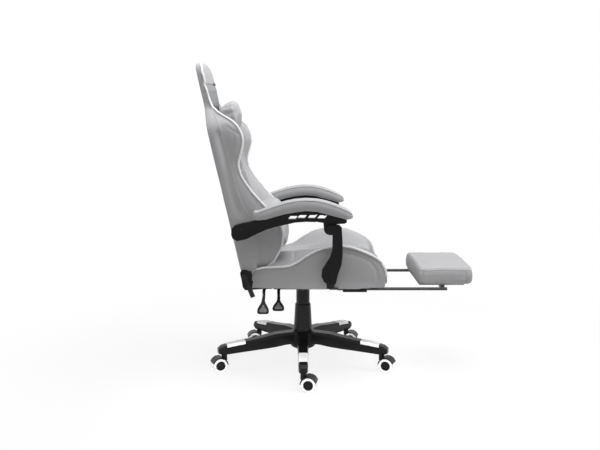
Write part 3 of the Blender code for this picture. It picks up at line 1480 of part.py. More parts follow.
def paddle_lever(name, root_ahead, paddle_ahead):
    root = -(HOUSING_WIDTH / 2 + TOUCH_GAP)
    shift = paddle_ahead - root_ahead
    slope = math.atan2(LEVER_BEND_HEIGHT - LEVER_END_HEIGHT, LEVER_END_SIDE - LEVER_BEND_SIDE)
    wire_end_side = LEVER_END_SIDE - PADDLE_LENGTH * 0.5 * math.cos(slope)
    wire_end_height = LEVER_END_HEIGHT + PADDLE_LENGTH * 0.5 * math.sin(slope)
    drop = LEVER_ROOT_HEIGHT - LEVER_BEND_HEIGHT
    points = [
        place(root, root_ahead, LEVER_ROOT_HEIGHT),
        place(root - LEVER_WIRE_RADIUS * 0.6, root_ahead, LEVER_ROOT_HEIGHT),
        place(root - LEVER_WIRE_RADIUS * 3, root_ahead, LEVER_ROOT_HEIGHT),
        place(-(LEVER_BEND_SIDE + 2 * -root) / 3, root_ahead + shift * 0.5, LEVER_ROOT_HEIGHT - drop * 0.4),
        place(-(2 * LEVER_BEND_SIDE - root) / 3, root_ahead + shift, LEVER_ROOT_HEIGHT - drop * 0.8),
        place(-LEVER_BEND_SIDE, paddle_ahead, LEVER_BEND_HEIGHT),
        place(-wire_end_side, paddle_ahead, wire_end_height),
    ]
    piece = add(name, tube(points, LEVER_WIRE_RADIUS), "black_plastic", (root, root_ahead, LEVER_ROOT_HEIGHT))
    paddle = block(
        -PADDLE_LENGTH / 2,
        PADDLE_LENGTH / 2,
        -PADDLE_WIDTH / 2,
        PADDLE_WIDTH / 2,
        -PADDLE_THICKNESS / 2,
        PADDLE_THICKNESS / 2,
        PADDLE_EDGE,
    )
    middle = place(-(LEVER_END_SIDE - PADDLE_LENGTH / 2 * math.cos(slope)), paddle_ahead, wire_end_height)
    turn = Matrix.Translation(middle) @ Matrix.Rotation(-slope, 4, "Y")
    shape(piece, [tool(moved(paddle, turn))], "UNION")
    return piece


paddle_lever("height_lever", HEIGHT_LEVER_AHEAD, HEIGHT_LEVER_AHEAD)
paddle_lever("tilt_lever", TILT_LEVER_ROOT_AHEAD, TILT_LEVER_AHEAD)

lever_inner = cover_outer + TOUCH_GAP
lever_outer = lever_inner + RECLINE_LEVER_THICKNESS
boss_outline = circle_outline(RECLINE_AHEAD, RECLINE_HEIGHT, RECLINE_LEVER_BOSS)
lever_mesh = mirrored(plate(boss_outline, lever_inner, lever_outer))
recline_lever = add("recline_lever", lever_mesh, "dark_steel", RECLINE_POINT)
bar_reach = math.radians(RECLINE_LEVER_ANGLE)
bar = block(
    -lever_outer + TOUCH_GAP,
    -lever_inner - TOUCH_GAP,
    -RECLINE_LEVER_WIDTH / 2,
    RECLINE_LEVER_WIDTH / 2,
    -RECLINE_LEVER_LENGTH,
    0,
)
sleeve = block(
    -lever_outer - SLEEVE_PROUD,
    -lever_inner,
    -RECLINE_LEVER_WIDTH / 2 - SLEEVE_PROUD,
    RECLINE_LEVER_WIDTH / 2 + SLEEVE_PROUD,
    -RECLINE_LEVER_LENGTH - SLEEVE_PROUD,
    SLEEVE_LENGTH - RECLINE_LEVER_LENGTH,
    SLEEVE_PROUD / 2,
)
swing = Matrix.Translation(place(*RECLINE_POINT)) @ Matrix.Rotation(-bar_reach, 4, "X")
shape(recline_lever, [tool(moved(bar, swing)), tool(moved(sleeve, swing))], "UNION")


# Footrest: two rods slide in guides under the seat, and a padded board turns over on the bar between them
def rod_ahead(radius, rear, front, side):
    rod = turned(((0, rear), (radius, rear), (radius, front), (0, front)), PIVOT_SIDES, math.pi / PIVOT_SIDES)
    return moved(rod, Matrix.Translation(place(side, 0, ROD_HEIGHT)) @ Matrix.Rotation(math.pi / 2, 4, "X"))


def guide(name, turn_over):
    side_low, side_high = ROD_SIDE - GUIDE_WIDTH / 2, ROD_SIDE + GUIDE_WIDTH / 2
    body = block(side_low, side_high, GUIDE_REAR, GUIDE_FRONT, GUIDE_BOTTOM, under_seat)
    piece = add(name, turn_over(body), "black_plastic", TILT_POINT)
    bore = rod_ahead(bore_radius(ROD_RADIUS), GUIDE_REAR - CUT_OVERRUN, GUIDE_FRONT + CUT_OVERRUN, ROD_SIDE)
    return shape(piece, [tool(turn_over(bore))])


guide("footrest_guide_left", as_drawn)
guide("footrest_guide_right", mirrored)
front_bar = cylinder_across(BAR_RADIUS, -ROD_SIDE, ROD_SIDE, ROD_FRONT, ROD_HEIGHT)
footrest_frame = add("footrest_frame", front_bar, "dark_steel", FOOTREST_POINT)
rods = [tool(rod_ahead(ROD_RADIUS, ROD_REAR, ROD_FRONT + ROD_NOSE, side)) for side in (ROD_SIDE, -ROD_SIDE)]
shape(footrest_frame, rods, "UNION")

footrest_middle = FOOTREST_REAR + FOOTREST_LENGTH / 2
plate_top = FOOTREST_BOTTOM - TOUCH_GAP
footrest_plate = add(
    "footrest_plate",
    block(
        -FOOTREST_PLATE_HALF_WIDTH,
        FOOTREST_PLATE_HALF_WIDTH,
        footrest_middle - FOOTREST_PLATE_LENGTH / 2,
        footrest_middle + FOOTREST_PLATE_LENGTH / 2,
        plate_top - FOOTREST_PLATE_THICKNESS,
        plate_top,
    ),
    "black_plastic",
    FOOTREST_POINT,
)
bar_bore = bore_radius(BAR_RADIUS)
lug_radius = bar_bore + FOOTREST_LUG_WALL
lug_outline = [
    (ROD_FRONT + lug_radius, plate_top - FOOTREST_PLATE_THICKNESS / 2),
    (ROD_FRONT - lug_radius, plate_top - FOOTREST_PLATE_THICKNESS / 2),
] + circle_outline(ROD_FRONT, ROD_HEIGHT, lug_radius, LINK_STEPS, 180, 180)
lugs = []
for side in (FOOTREST_LUG_SIDE, -FOOTREST_LUG_SIDE):
    lugs.append(tool(plate(lug_outline, side - FOOTREST_LUG_WIDTH / 2, side + FOOTREST_LUG_WIDTH / 2)))
shape(footrest_plate, lugs, "UNION")
shape(footrest_plate, [tool(cylinder_across(bar_bore, -ROD_SIDE, ROD_SIDE, ROD_FRONT, ROD_HEIGHT))])


def footrest_spot(side, along, rise):
    return place(side, footrest_middle - along, FOOTREST_BOTTOM + rise)


add(
    "footrest_pad",
    pillow(2 * FOOTREST_HALF_WIDTH, FOOTREST_LENGTH, FOOTREST_THICKNESS, footrest_spot),
    "light_fabric",
    FOOTREST_POINT,
)
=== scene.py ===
"""The looks of a mesh gaming chair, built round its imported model. Metres; the chair faces -Y."""

import math

import bmesh
import bpy
import numpy as np
from mathutils import Matrix, Vector, noise
from mathutils.bvhtree import BVHTree


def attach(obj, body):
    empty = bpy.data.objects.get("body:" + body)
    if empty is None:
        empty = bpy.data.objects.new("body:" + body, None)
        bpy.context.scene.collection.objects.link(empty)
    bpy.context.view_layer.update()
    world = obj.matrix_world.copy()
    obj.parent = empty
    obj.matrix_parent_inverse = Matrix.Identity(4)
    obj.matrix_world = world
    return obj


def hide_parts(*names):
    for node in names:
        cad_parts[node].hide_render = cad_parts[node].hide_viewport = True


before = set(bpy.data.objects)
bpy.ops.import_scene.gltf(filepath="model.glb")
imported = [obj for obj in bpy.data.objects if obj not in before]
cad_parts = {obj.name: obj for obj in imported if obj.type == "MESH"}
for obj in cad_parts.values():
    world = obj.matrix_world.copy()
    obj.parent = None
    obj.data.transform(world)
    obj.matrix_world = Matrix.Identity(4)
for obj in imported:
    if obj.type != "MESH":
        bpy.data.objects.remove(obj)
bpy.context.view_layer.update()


# Studio: the chair stands on a plain white floor that fades into a white backdrop, seen from its
# right side by a camera a metre up, under one broad soft light, with a strip light ahead of it and
# one behind it and a narrow beam on the base.
COLUMN_X, COLUMN_Y = 0.016415, 0.112527
CAMERA_REACH, CAMERA_AHEAD, CAMERA_HEIGHT = 2.985, -0.0118, 0.980
CAMERA_PITCH, CAMERA_LENS = 7.9, 45.5


def place(side, ahead, height):
    """A point to the sitter's left of the column, ahead of it and above the floor."""
    return Vector((COLUMN_X + side, COLUMN_Y - ahead, height))


def put_in_scene(name, data):
    holder = bpy.data.objects.new(name, data)
    bpy.context.scene.collection.objects.link(holder)
    return holder


camera = put_in_scene("camera", bpy.data.cameras.new("camera"))
camera.location = place(-CAMERA_REACH, CAMERA_AHEAD, CAMERA_HEIGHT)
camera.rotation_euler = (math.radians(90 - CAMERA_PITCH), 0, math.radians(-90))
camera.data.lens = CAMERA_LENS
camera.data.sensor_width = 36
camera.data.sensor_fit = "HORIZONTAL"
camera.data.clip_end = 60
bpy.context.scene.camera = camera
bpy.context.scene.view_settings.view_transform = "Standard"


def softbox(name, middle, aim, width, height, power):
    lamp = bpy.data.lights.new(name, "AREA")
    lamp.shape = "RECTANGLE"
    lamp.size, lamp.size_y = width, height
    lamp.energy = power
    holder = put_in_scene(name, lamp)
    holder.location = middle
    holder.rotation_euler = (Vector(aim) - Vector(middle)).to_track_quat("-Z", "Y").to_euler()
    return lamp


softbox("overhead_light", middle=(-0.3, -0.3, 2.8), aim=(0, 0.05, 0.5), width=2.0, height=2.2, power=64)
softbox("front_light", middle=(-0.8, -3.1, 2.4), aim=(0, 0, 0.7), width=0.60, height=1.9, power=24)
softbox("rear_light", middle=(-1.7, 2.9, 1.8), aim=(0, 0.1, 0.6), width=0.40, height=1.9, power=7)
base_light = softbox("base_light", middle=(-2.6, 0.1, 0.80), aim=(-0.1, 0.1, 0.04), width=1.3, height=0.25, power=1.25)
base_light.spread = math.radians(12)


def link_value(tree, socket, value):
    """Feeds a socket from a node's output, or sets it when the value is a plain number."""
    if isinstance(value, bpy.types.NodeSocket):
        tree.links.new(value, socket)
    else:
        socket.default_value = value


def math_node(tree, operation, first, second=0.0):
    node = tree.nodes.new("ShaderNodeMath")
    node.operation = operation
    link_value(tree, node.inputs[0], first)
    link_value(tree, node.inputs[1], second)
    return node.outputs[0]


def seen_ray(tree):
    """1 for rays that look at the background: straight, in a reflection or through glass."""
    path = tree.nodes.new("ShaderNodeLightPath")
    reflected = math_node(tree, "MAXIMUM", path.outputs["Is Glossy Ray"], path.outputs["Is Transmission Ray"])
    return math_node(tree, "MAXIMUM", path.outputs["Is Camera Ray"], reflected)


WORLD_LIGHT = 0.27
world = bpy.data.worlds.new("white_room")
world.use_nodes = True
world_tree = world.node_tree
background = world_tree.nodes["Background"]
background.inputs["Color"].default_value = (1, 1, 1, 1)
extra = math_node(world_tree, "MULTIPLY", seen_ray(world_tree), 1 - WORLD_LIGHT)
world_tree.links.new(math_node(world_tree, "ADD", extra, WORLD_LIGHT), background.inputs["Strength"])
bpy.context.scene.world = world

# the floor takes the chair's shadow near it, and is plain white to the eye from FLOOR_FAR on
FLOOR_REACH, FLOOR_NEAR, FLOOR_FAR = 14.0, 0.55, 1.7
FLOOR_COLOUR, FLOOR_GLOW, FLOOR_NEAR_WHITE = (0.60, 0.60, 0.60, 1), 0.42, 0.66
floor_corners = [(x * FLOOR_REACH, y * FLOOR_REACH, 0) for x, y in ((-1, -1), (1, -1), (1, 1), (-1, 1))]
floor_mesh = bpy.data.meshes.new("floor")
floor_mesh.from_pydata(floor_corners, [], [(0, 1, 2, 3)])
floor = put_in_scene("floor", floor_mesh)
floor_finish = bpy.data.materials.new("white_floor")
floor_finish.use_nodes = True
floor_tree = floor_finish.node_tree
floor_tree.nodes.clear()
floor_paint = floor_tree.nodes.new("ShaderNodeBsdfDiffuse")
floor_paint.inputs["Color"].default_value = FLOOR_COLOUR
floor_glow = floor_tree.nodes.new("ShaderNodeEmission")
floor_white = floor_tree.nodes.new("ShaderNodeEmission")
floor_sum = floor_tree.nodes.new("ShaderNodeAddShader")
floor_mix = floor_tree.nodes.new("ShaderNodeMixShader")
floor_out = floor_tree.nodes.new("ShaderNodeOutputMaterial")
looked_at = seen_ray(floor_tree)
floor_tree.links.new(math_node(floor_tree, "MULTIPLY", looked_at, FLOOR_GLOW), floor_glow.inputs["Strength"])
floor_spot = floor_tree.nodes.new("ShaderNodeTexCoord")
distance = floor_tree.nodes.new("ShaderNodeVectorMath")
distance.operation = "LENGTH"
floor_tree.links.new(floor_spot.outputs["Object"], distance.inputs[0])
fade = floor_tree.nodes.new("ShaderNodeMapRange")
fade.interpolation_type = "SMOOTHSTEP"
fade.inputs["From Min"].default_value = FLOOR_NEAR
fade.inputs["From Max"].default_value = FLOOR_FAR
fade.inputs["To Min"].default_value = FLOOR_NEAR_WHITE
floor_tree.links.new(distance.outputs["Value"], fade.inputs["Value"])
whiteness = math_node(floor_tree, "MULTIPLY", fade.outputs["Result"], looked_at)
floor_tree.links.new(whiteness, floor_mix.inputs["Fac"])
floor_tree.links.new(floor_paint.outputs[0], floor_sum.inputs[0])
floor_tree.links.new(floor_glow.outputs[0], floor_sum.inputs[1])
floor_tree.links.new(floor_sum.outputs[0], floor_mix.inputs[1])
floor_tree.links.new(floor_white.outputs[0], floor_mix.inputs[2])
floor_tree.links.new(floor_mix.outputs[0], floor_out.inputs["Surface"])
floor_mesh.materials.append(floor_finish)


# Star base: one black glass-filled nylon moulding, a hub and five spokes, with a fine moulded grain
# that is polished brighter in broad smudges by hands and shoes.
def shader_group(name, inputs, outputs):
    """A node group with these named (label, value) inputs and (label, kind) outputs."""
    tree = bpy.data.node_groups.new(name, "ShaderNodeTree")
    for label, value in inputs:
        kind = "NodeSocketFloat" if isinstance(value, float) else "NodeSocketColor"
        socket = tree.interface.new_socket(label, in_out="INPUT", socket_type=kind)
        socket.default_value = value
    for label, kind in outputs:
        tree.interface.new_socket(label, in_out="OUTPUT", socket_type=kind)
    return tree, tree.nodes.new("NodeGroupInput"), tree.nodes.new("NodeGroupOutput")


def texture_noise(tree, scale, detail=2.0, roughness=0.5, stretch=(1, 1, 1)):
    """Noise over the piece's own coordinates, at a scale in cells per metre."""
    where = tree.nodes.new("ShaderNodeTexCoord")
    node = tree.nodes.new("ShaderNodeTexNoise")
    link_value(tree, node.inputs["Scale"], scale)
    node.inputs["Detail"].default_value = detail
    node.inputs["Roughness"].default_value = roughness
    if stretch == (1, 1, 1):
        tree.links.new(where.outputs["Object"], node.inputs["Vector"])
    else:
        mapping = tree.nodes.new("ShaderNodeMapping")
        mapping.inputs["Scale"].default_value = stretch
        tree.links.new(where.outputs["Object"], mapping.inputs["Vector"])
        tree.links.new(mapping.outputs["Vector"], node.inputs["Vector"])
    return node.outputs["Fac"]


def remap(tree, value, low, high, to_low, to_high):
    node = tree.nodes.new("ShaderNodeMapRange")
    node.inputs["From Min"].default_value = low
    node.inputs["From Max"].default_value = high
    for label, to in (("To Min", to_low), ("To Max", to_high)):
        link_value(tree, node.inputs[label], to)
    tree.links.new(value, node.inputs["Value"])
    return node.outputs["Result"]


def tinted(tree, mask, colour, other):
    """Colour where the mask is 0 and other where it is 1."""
    node = tree.nodes.new("ShaderNodeMix")
    node.data_type = "RGBA"
    link_value(tree, node.inputs["Factor"], mask)
    link_value(tree, node.inputs["A"], colour)
    link_value(tree, node.inputs["B"], other)
    return node.outputs["Result"]


# moulded grain: fine pebbling, with broad smudges where the surface has been rubbed
grain, grain_in, grain_out = shader_group(
    "moulded_grain",
    [("Grain Scale", 900.0), ("Rub Scale", 7.0), ("Roughness Low", 0.25), ("Roughness High", 0.45)],
    [("Height", "NodeSocketFloat"), ("Rubbed", "NodeSocketFloat"), ("Roughness", "NodeSocketFloat")],
)
pebbles = texture_noise(grain, grain_in.outputs["Grain Scale"], 3.0, 0.6)
rubbed = texture_noise(grain, grain_in.outputs["Rub Scale"], 5.0, 0.65)
grain.links.new(pebbles, grain_out.inputs["Height"])
grain.links.new(remap(grain, rubbed, 0.35, 0.70, 0.0, 1.0), grain_out.inputs["Rubbed"])
grain.links.new(
    remap(grain, rubbed, 0.30, 0.72, grain_in.outputs["Roughness High"], grain_in.outputs["Roughness Low"]),
    grain_out.inputs["Roughness"],
)


def new_finish(name):
    material = bpy.data.materials.new(name)
    material.use_nodes = True
    return material, material.node_tree, material.node_tree.nodes["Principled BSDF"]


def group_node(tree, group, **values):
    node = tree.nodes.new("ShaderNodeGroup")
    node.node_tree = group
    for label, value in values.items():
        node.inputs[label.replace("_", " ")].default_value = value
    return node


def relief(tree, shader, height, distance, strength=1.0):
    """Bump from a height that varies over the surface."""
    bump = tree.nodes.new("ShaderNodeBump")
    bump.inputs["Distance"].default_value = distance
    bump.inputs["Strength"].default_value = strength
    tree.links.new(height, bump.inputs["Height"])
    tree.links.new(bump.outputs["Normal"], shader.inputs["Normal"])


def two_toned(tree, shader, mask, colour, other):
    """The shader's colour where the mask is 0, and the other where it is 1."""
    tree.links.new(tinted(tree, mask, (*colour, 1), (*other, 1)), shader.inputs["Base Color"])


def moulded_plastic(name, colour, rubbed_colour, low, high, grain_scale=900.0, depth=0.00004, specular=0.5):
    """Plastic with a moulded grain, another colour where it is rubbed, and a roughness from low to high."""
    material, tree, shader = new_finish(name)
    node = group_node(tree, grain, Grain_Scale=grain_scale, Roughness_Low=low, Roughness_High=high)
    two_toned(tree, shader, node.outputs["Rubbed"], colour, rubbed_colour)
    tree.links.new(node.outputs["Roughness"], shader.inputs["Roughness"])
    shader.inputs["Specular IOR Level"].default_value = specular
    relief(tree, shader, node.outputs["Height"], depth)
    return material


NYLON_BLACK = (0.005, 0.005, 0.0055)
base_nylon = moulded_plastic("base_nylon", NYLON_BLACK, (0.009, 0.009, 0.0095), 0.20, 0.34, specular=0.14)


def dress(names, material):
    """Gives carried-over CAD pieces their finish."""
    for name in names:
        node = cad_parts[name]
        for holder in node.material_slots:
            holder.material = material


dress(["star_base"], base_nylon)


# Spoke inlays: five satin white ABS strips pressed into the tops of the spokes near the casters.
white_abs = moulded_plastic(
    "white_abs", (0.93, 0.93, 0.925), (0.90, 0.90, 0.895), 0.28, 0.42, grain_scale=700.0, depth=0.00003
)
dress([f"spoke_inlay_{number}" for number in range(1, 6)], white_abs)


# Casters: twin-wheel casters, a black nylon hood over two wheels, each wheel a white polyurethane
# tyre on a black centre with a dished cap and five ribs.
WHEEL_RADIUS, WHEEL_HALF, CAP_RADIUS, CORE_RADIUS = 0.0275, 0.0085, 0.0185, 0.0170
STEM_CIRCLE, CASTER_TRAIL, WHEEL_OFFSET = 0.325, 0.0215, 0.0160
# which way each caster trails at rest: (ahead, right)
TRAILS = ((0.985, 0.170), (0.930, 0.370), (0.980, 0.200), (-0.985, 0.170), (-0.930, 0.370))
TRIM_BLACK = (0.006, 0.006, 0.0065)
caster_nylon = moulded_plastic(
    "caster_nylon", TRIM_BLACK, (0.011, 0.011, 0.0115), 0.24, 0.40, grain_scale=1100.0, specular=0.15
)
tyre_urethane = moulded_plastic(
    "tyre_urethane", (0.92, 0.92, 0.915), (0.86, 0.86, 0.855), 0.40, 0.60, grain_scale=500.0, depth=0.00006
)
dress([f"caster_hood_{number}" for number in range(1, 6)], caster_nylon)


def turned_mesh(profile, sides):
    """A (radius, height) outline turned about the vertical axis; a radius of 0 closes on the axis."""
    mesh = bmesh.new()
    columns = []
    for radius, height in profile:
        if radius == 0:
            columns.append([mesh.verts.new((0, 0, height))] * sides)
        else:
            angles = [2 * math.pi * step / sides for step in range(sides)]
            ring = [(radius * math.cos(angle), radius * math.sin(angle), height) for angle in angles]
            columns.append([mesh.verts.new(spot) for spot in ring])
    for low, high in zip(columns, columns[1:]):
        for step in range(sides):
            after = (step + 1) % sides
            corners = []
            for corner in (low[step], low[after], high[after], high[step]):
                if corner not in corners:
                    corners.append(corner)
            if len(corners) > 2:
                mesh.faces.new(corners)
    return mesh


def new_piece(name, mesh, materials, smooth_angle=40):
    """Makes the named piece from a bmesh, which it frees."""
    bmesh.ops.recalc_face_normals(mesh, faces=mesh.faces)
    data = bpy.data.meshes.new(name)
    mesh.to_mesh(data)
    mesh.free()
    for material in materials:
        data.materials.append(material)
    data.shade_smooth()
    if smooth_angle < 180:
        data.set_sharp_from_angle(angle=math.radians(smooth_angle))
    return put_in_scene(name, data)


def join_meshes(meshes):
    """One bmesh out of (bmesh, material number) pairs, which it frees."""
    whole = bmesh.new()
    for mesh, number in meshes:
        for face in mesh.faces:
            face.material_index = number
        data = bpy.data.meshes.new("part")
        mesh.to_mesh(data)
        mesh.free()
        whole.from_mesh(data)
        bpy.data.meshes.remove(data)
    return whole


tyre_profile = (
    (CORE_RADIUS, -WHEEL_HALF + 0.0010),
    (0.0176, -WHEEL_HALF),
    (WHEEL_RADIUS - 0.0030, -WHEEL_HALF),
    (WHEEL_RADIUS - 0.0010, -WHEEL_HALF + 0.0008),
    (WHEEL_RADIUS, -WHEEL_HALF + 0.0030),
    (WHEEL_RADIUS, WHEEL_HALF - 0.0030),
    (WHEEL_RADIUS - 0.0010, WHEEL_HALF - 0.0008),
    (WHEEL_RADIUS - 0.0030, WHEEL_HALF),
    (CAP_RADIUS + 0.0012, WHEEL_HALF),
    (CAP_RADIUS + 0.0004, WHEEL_HALF - 0.0006),
    (CAP_RADIUS, WHEEL_HALF - 0.0022),
    (CORE_RADIUS, WHEEL_HALF - 0.0030),
    (CORE_RADIUS, -WHEEL_HALF + 0.0010),
)
hub_profile = (
    (0, -WHEEL_HALF + 0.0006),
    (0.0172, -WHEEL_HALF + 0.0006),
    (0.0172, WHEEL_HALF - 0.0028),
    (CAP_RADIUS - 0.0003, WHEEL_HALF - 0.0022),
    (CAP_RADIUS - 0.0003, WHEEL_HALF - 0.0012),
    (0.0168, WHEEL_HALF - 0.0008),
    (0.0158, WHEEL_HALF - 0.0012),
    (0.0146, WHEEL_HALF - 0.0030),
    (0.0080, WHEEL_HALF - 0.0036),
    (0.0062, WHEEL_HALF - 0.0014),
    (0.0050, WHEEL_HALF - 0.0006),
    (0, WHEEL_HALF - 0.0004),
)
WHEEL_SIDES, CAP_RIBS, CAP_RIB_SIZE, CAP_RIB_OUT = 56, 5, (0.0105, 0.0026, 0.0030), 0.0108
wheel_parts = [(turned_mesh(tyre_profile, WHEEL_SIDES), 0), (turned_mesh(hub_profile, WHEEL_SIDES), 1)]
for rib_number in range(CAP_RIBS):
    rib = bmesh.new()
    bmesh.ops.create_cube(rib, size=1)
    bmesh.ops.scale(rib, verts=rib.verts, vec=CAP_RIB_SIZE)
    bmesh.ops.bevel(rib, geom=rib.edges[:], offset=0.0006, segments=2, affect="EDGES")
    bmesh.ops.translate(rib, verts=rib.verts, vec=(CAP_RIB_OUT, 0, WHEEL_HALF - 0.0028))
    bmesh.ops.rotate(rib, verts=rib.verts, matrix=Matrix.Rotation(2 * math.pi * rib_number / CAP_RIBS, 3, "Z"))
    wheel_parts.append((rib, 1))
wheel_pattern = new_piece("wheel_pattern", join_meshes(wheel_parts), [tyre_urethane, caster_nylon])
for number in range(1, 6):
    spoke_angle = math.pi + 2 * math.pi * (number - 1) / 5
    trail_ahead, trail_right = TRAILS[number - 1]
    turn = math.atan2(-trail_ahead, -trail_right)
    stem = place(0, 0, 0) + Vector((math.cos(spoke_angle), math.sin(spoke_angle), 0)) * STEM_CIRCLE
    for letter, offset in (("a", WHEEL_OFFSET), ("b", -WHEEL_OFFSET)):
        wheel = put_in_scene(f"tyre_and_centre_{number}{letter}", wheel_pattern.data.copy())
        outward = Matrix.Rotation(-math.pi / 2 if offset > 0 else math.pi / 2, 4, "X")
        seat_of_wheel = Matrix.Translation((CASTER_TRAIL, offset, WHEEL_RADIUS)) @ outward
        wheel.data.transform(Matrix.Translation(stem) @ Matrix.Rotation(turn, 4, "Z") @ seat_of_wheel)
        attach(wheel, f"wheel_{number}{letter}")
        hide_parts(f"wheel_{number}{letter}")
bpy.data.objects.remove(wheel_pattern)


# Gas column: a chromed cylinder in a painted steel tube, hidden by two black covers that telescope;
# the covers are blow-moulded, with a finer, shinier skin than the base.
cover_skin = moulded_plastic(
    "cover_skin",
    NYLON_BLACK,
    (0.008, 0.008, 0.0085),
    0.16,
    0.26,
    grain_scale=1300.0,
    depth=0.00003,
    specular=0.22,
)
dress(["lower_cover", "upper_cover"], cover_skin)


def painted_steel(name, colour, worn_colour, low, high):
    material, tree, shader = new_finish(name)
    node = group_node(tree, grain, Grain_Scale=420.0, Rub_Scale=16.0, Roughness_Low=low, Roughness_High=high)
    two_toned(tree, shader, node.outputs["Rubbed"], colour, worn_colour)
    tree.links.new(node.outputs["Roughness"], shader.inputs["Roughness"])
    shader.inputs["Specular IOR Level"].default_value = 0.18
    relief(tree, shader, node.outputs["Height"], 0.0001, 0.6)
    return material


def bare_steel(name, colour, low, high):
    """Bright metal with fine drawn lines."""
    material, tree, shader = new_finish(name)
    lines = texture_noise(tree, 60.0, 4.0, 0.7, (1, 1, 22))
    tree.links.new(remap(tree, lines, 0.3, 0.7, low, high), shader.inputs["Roughness"])
    two_toned(tree, shader, texture_noise(tree, 30.0, 3.0), colour, [part * 0.82 for part in colour])
    shader.inputs["Metallic"].default_value = 1.0
    relief(tree, shader, lines, 0.00003)
    return material


powder_coat = painted_steel("powder_coat", (0.014, 0.014, 0.015), (0.026, 0.026, 0.027), 0.34, 0.52)
polished_steel = bare_steel("polished_steel", (0.60, 0.60, 0.61), 0.12, 0.30)
dress(["gas_tube"], powder_coat)
dress(["gas_cylinder"], polished_steel)


# Tilt mechanism: a pressed steel housing bolted up under the seat, rocking on one pin in the block
# that sits on the column's taper. Its bolts are zinc plated, with hexagon heads and washers.
dress(["mechanism_socket", "mechanism_housing"], powder_coat)
dress(["tilt_pin"], polished_steel)
zinc = bare_steel("zinc_plate", (0.50, 0.50, 0.50), 0.25, 0.45)


def bolt_mesh(head_width, head_height, washer_radius):
    """A hexagon head on its washer, standing up from z = 0."""
    washer = turned_mesh(
        ((0, 0), (washer_radius, 0), (washer_radius, 0.0012), (washer_radius - 0.0004, 0.0016), (0, 0.0016)), 24
    )
    head = turned_mesh(
        (
            (0, 0.0014),
            (head_width / 2, 0.0014),
            (head_width / 2, head_height),
            (head_width / 2 - 0.0010, head_height + 0.0010),
            (0, head_height + 0.0011),
        ),
        6,
    )
    return join_meshes([(washer, 0), (head, 0)])


def set_against(mesh, point, outward):
    """Turns a shape that stands up from the origin so that it stands out from a surface."""
    matrix = Matrix.Translation(point) @ Vector(outward).to_track_quat("Z", "X").to_matrix().to_4x4()
    bmesh.ops.transform(mesh, matrix=matrix, verts=mesh.verts)
    return mesh


BOLT_SIDES, BOLT_AHEADS, BOLT_HEIGHT = (-0.050, 0.050), (-0.095, 0.075), 0.3575
mechanism_bolts = []
for side in BOLT_SIDES:
    for ahead in BOLT_AHEADS:
        bolt = bolt_mesh(head_width=0.011, head_height=0.0055, washer_radius=0.008)
        mechanism_bolts.append((set_against(bolt, place(side, ahead, BOLT_HEIGHT), (0, 0, -1)), 0))
bolts = new_piece("mechanism_bolts", join_meshes(mechanism_bolts), [zinc], 30)
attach(bolts, "seat")


# Seat board: moulded plywood under the seat, which carries the foam and its covers. Below it is
# closed by a black dust cloth of spun fibres, stapled on over the covers' turned edges.
dust_cloth, dust_tree, dust_shader = new_finish("dust_cloth")
fibres = texture_noise(dust_tree, 1400.0, 4.0, 0.8)
dust = texture_noise(dust_tree, 40.0, 5.0)
two_toned(dust_tree, dust_shader, dust, (0.030, 0.030, 0.032), (0.060, 0.060, 0.062))
dust_shader.inputs["Roughness"].default_value = 0.95
relief(dust_tree, dust_shader, fibres, 0.0003)
board = put_in_scene("board_with_dust_cloth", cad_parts["seat_board"].data.copy())


# Seat cushion: the sitting panel is open spacer mesh over foam, drawn down by two sewn channels
# across it and by a seam along each bolster. It is stuffed as cloth, then the channels are sunk.
SEAT_BOTTOM, SEAT_REAR, SEAT_LENGTH = 0.3630, -0.192, 0.497
SEAT_SEAM_SIDE, SEAT_HALF_WIDTH, SEAT_SIDE_ROUND = 0.172, 0.260, 0.008
SEAT_CENTRE_RISE, SEAT_CENTRE_LENGTH = 0.086, 0.529
SEAT_CHANNELS, SEAT_CROWN, CHANNEL_DEPTH = (0.30, 0.60), 0.014, 0.004
SEAT_LIP_PULL = 0.018
SEAT_CENTRE_SHARES = (
    (0.000, 0.46),
    (0.012, 0.64),
    (0.050, 0.74),
    (0.150, 0.79),
    (0.300, 0.83),
    (0.450, 0.90),
    (0.600, 0.97),
    (0.720, 1.00),
    (0.820, 0.98),
    (0.900, 0.90),
    (0.955, 0.76),
    (0.985, 0.58),
    (1.000, 0.36),
)

# woven threads: plain weave seen square on from each of the three axes, blended by the way it faces
weave, weave_in, weave_out = shader_group(
    "woven_threads",
    [("Pitch", 0.0022), ("Fleck Scale", 700.0), ("Shade Scale", 9.0)],
    [(label, "NodeSocketFloat") for label in ("Threads", "Holes", "Fleck", "Shade")],
)
weave_spot = weave.nodes.new("ShaderNodeTexCoord")
spot_axes = weave.nodes.new("ShaderNodeSeparateXYZ")
weave.links.new(weave_spot.outputs["Object"], spot_axes.inputs[0])
facing = weave.nodes.new("ShaderNodeSeparateXYZ")
weave.links.new(weave_spot.outputs["Normal"], facing.inputs[0])
turns = math_node(weave, "DIVIDE", 2 * math.pi, weave_in.outputs["Pitch"])
waves = []
for axis in ("X", "Y", "Z"):
    waves.append(math_node(weave, "SINE", math_node(weave, "MULTIPLY", spot_axes.outputs[axis], turns)))
threads = None
for axis, first, second in (("X", 1, 2), ("Y", 0, 2), ("Z", 0, 1)):
    crossing = math_node(weave, "MULTIPLY", waves[first], waves[second])
    share = math_node(weave, "POWER", math_node(weave, "ABSOLUTE", facing.outputs[axis]), 2.0)
    seen = math_node(weave, "MULTIPLY", crossing, share)
    threads = seen if threads is None else math_node(weave, "ADD", threads, seen)
weave.links.new(remap(weave, threads, -1.0, 1.0, 0.0, 1.0), weave_out.inputs["Threads"])
weave.links.new(remap(weave, threads, -0.75, -0.15, 1.0, 0.0), weave_out.inputs["Holes"])
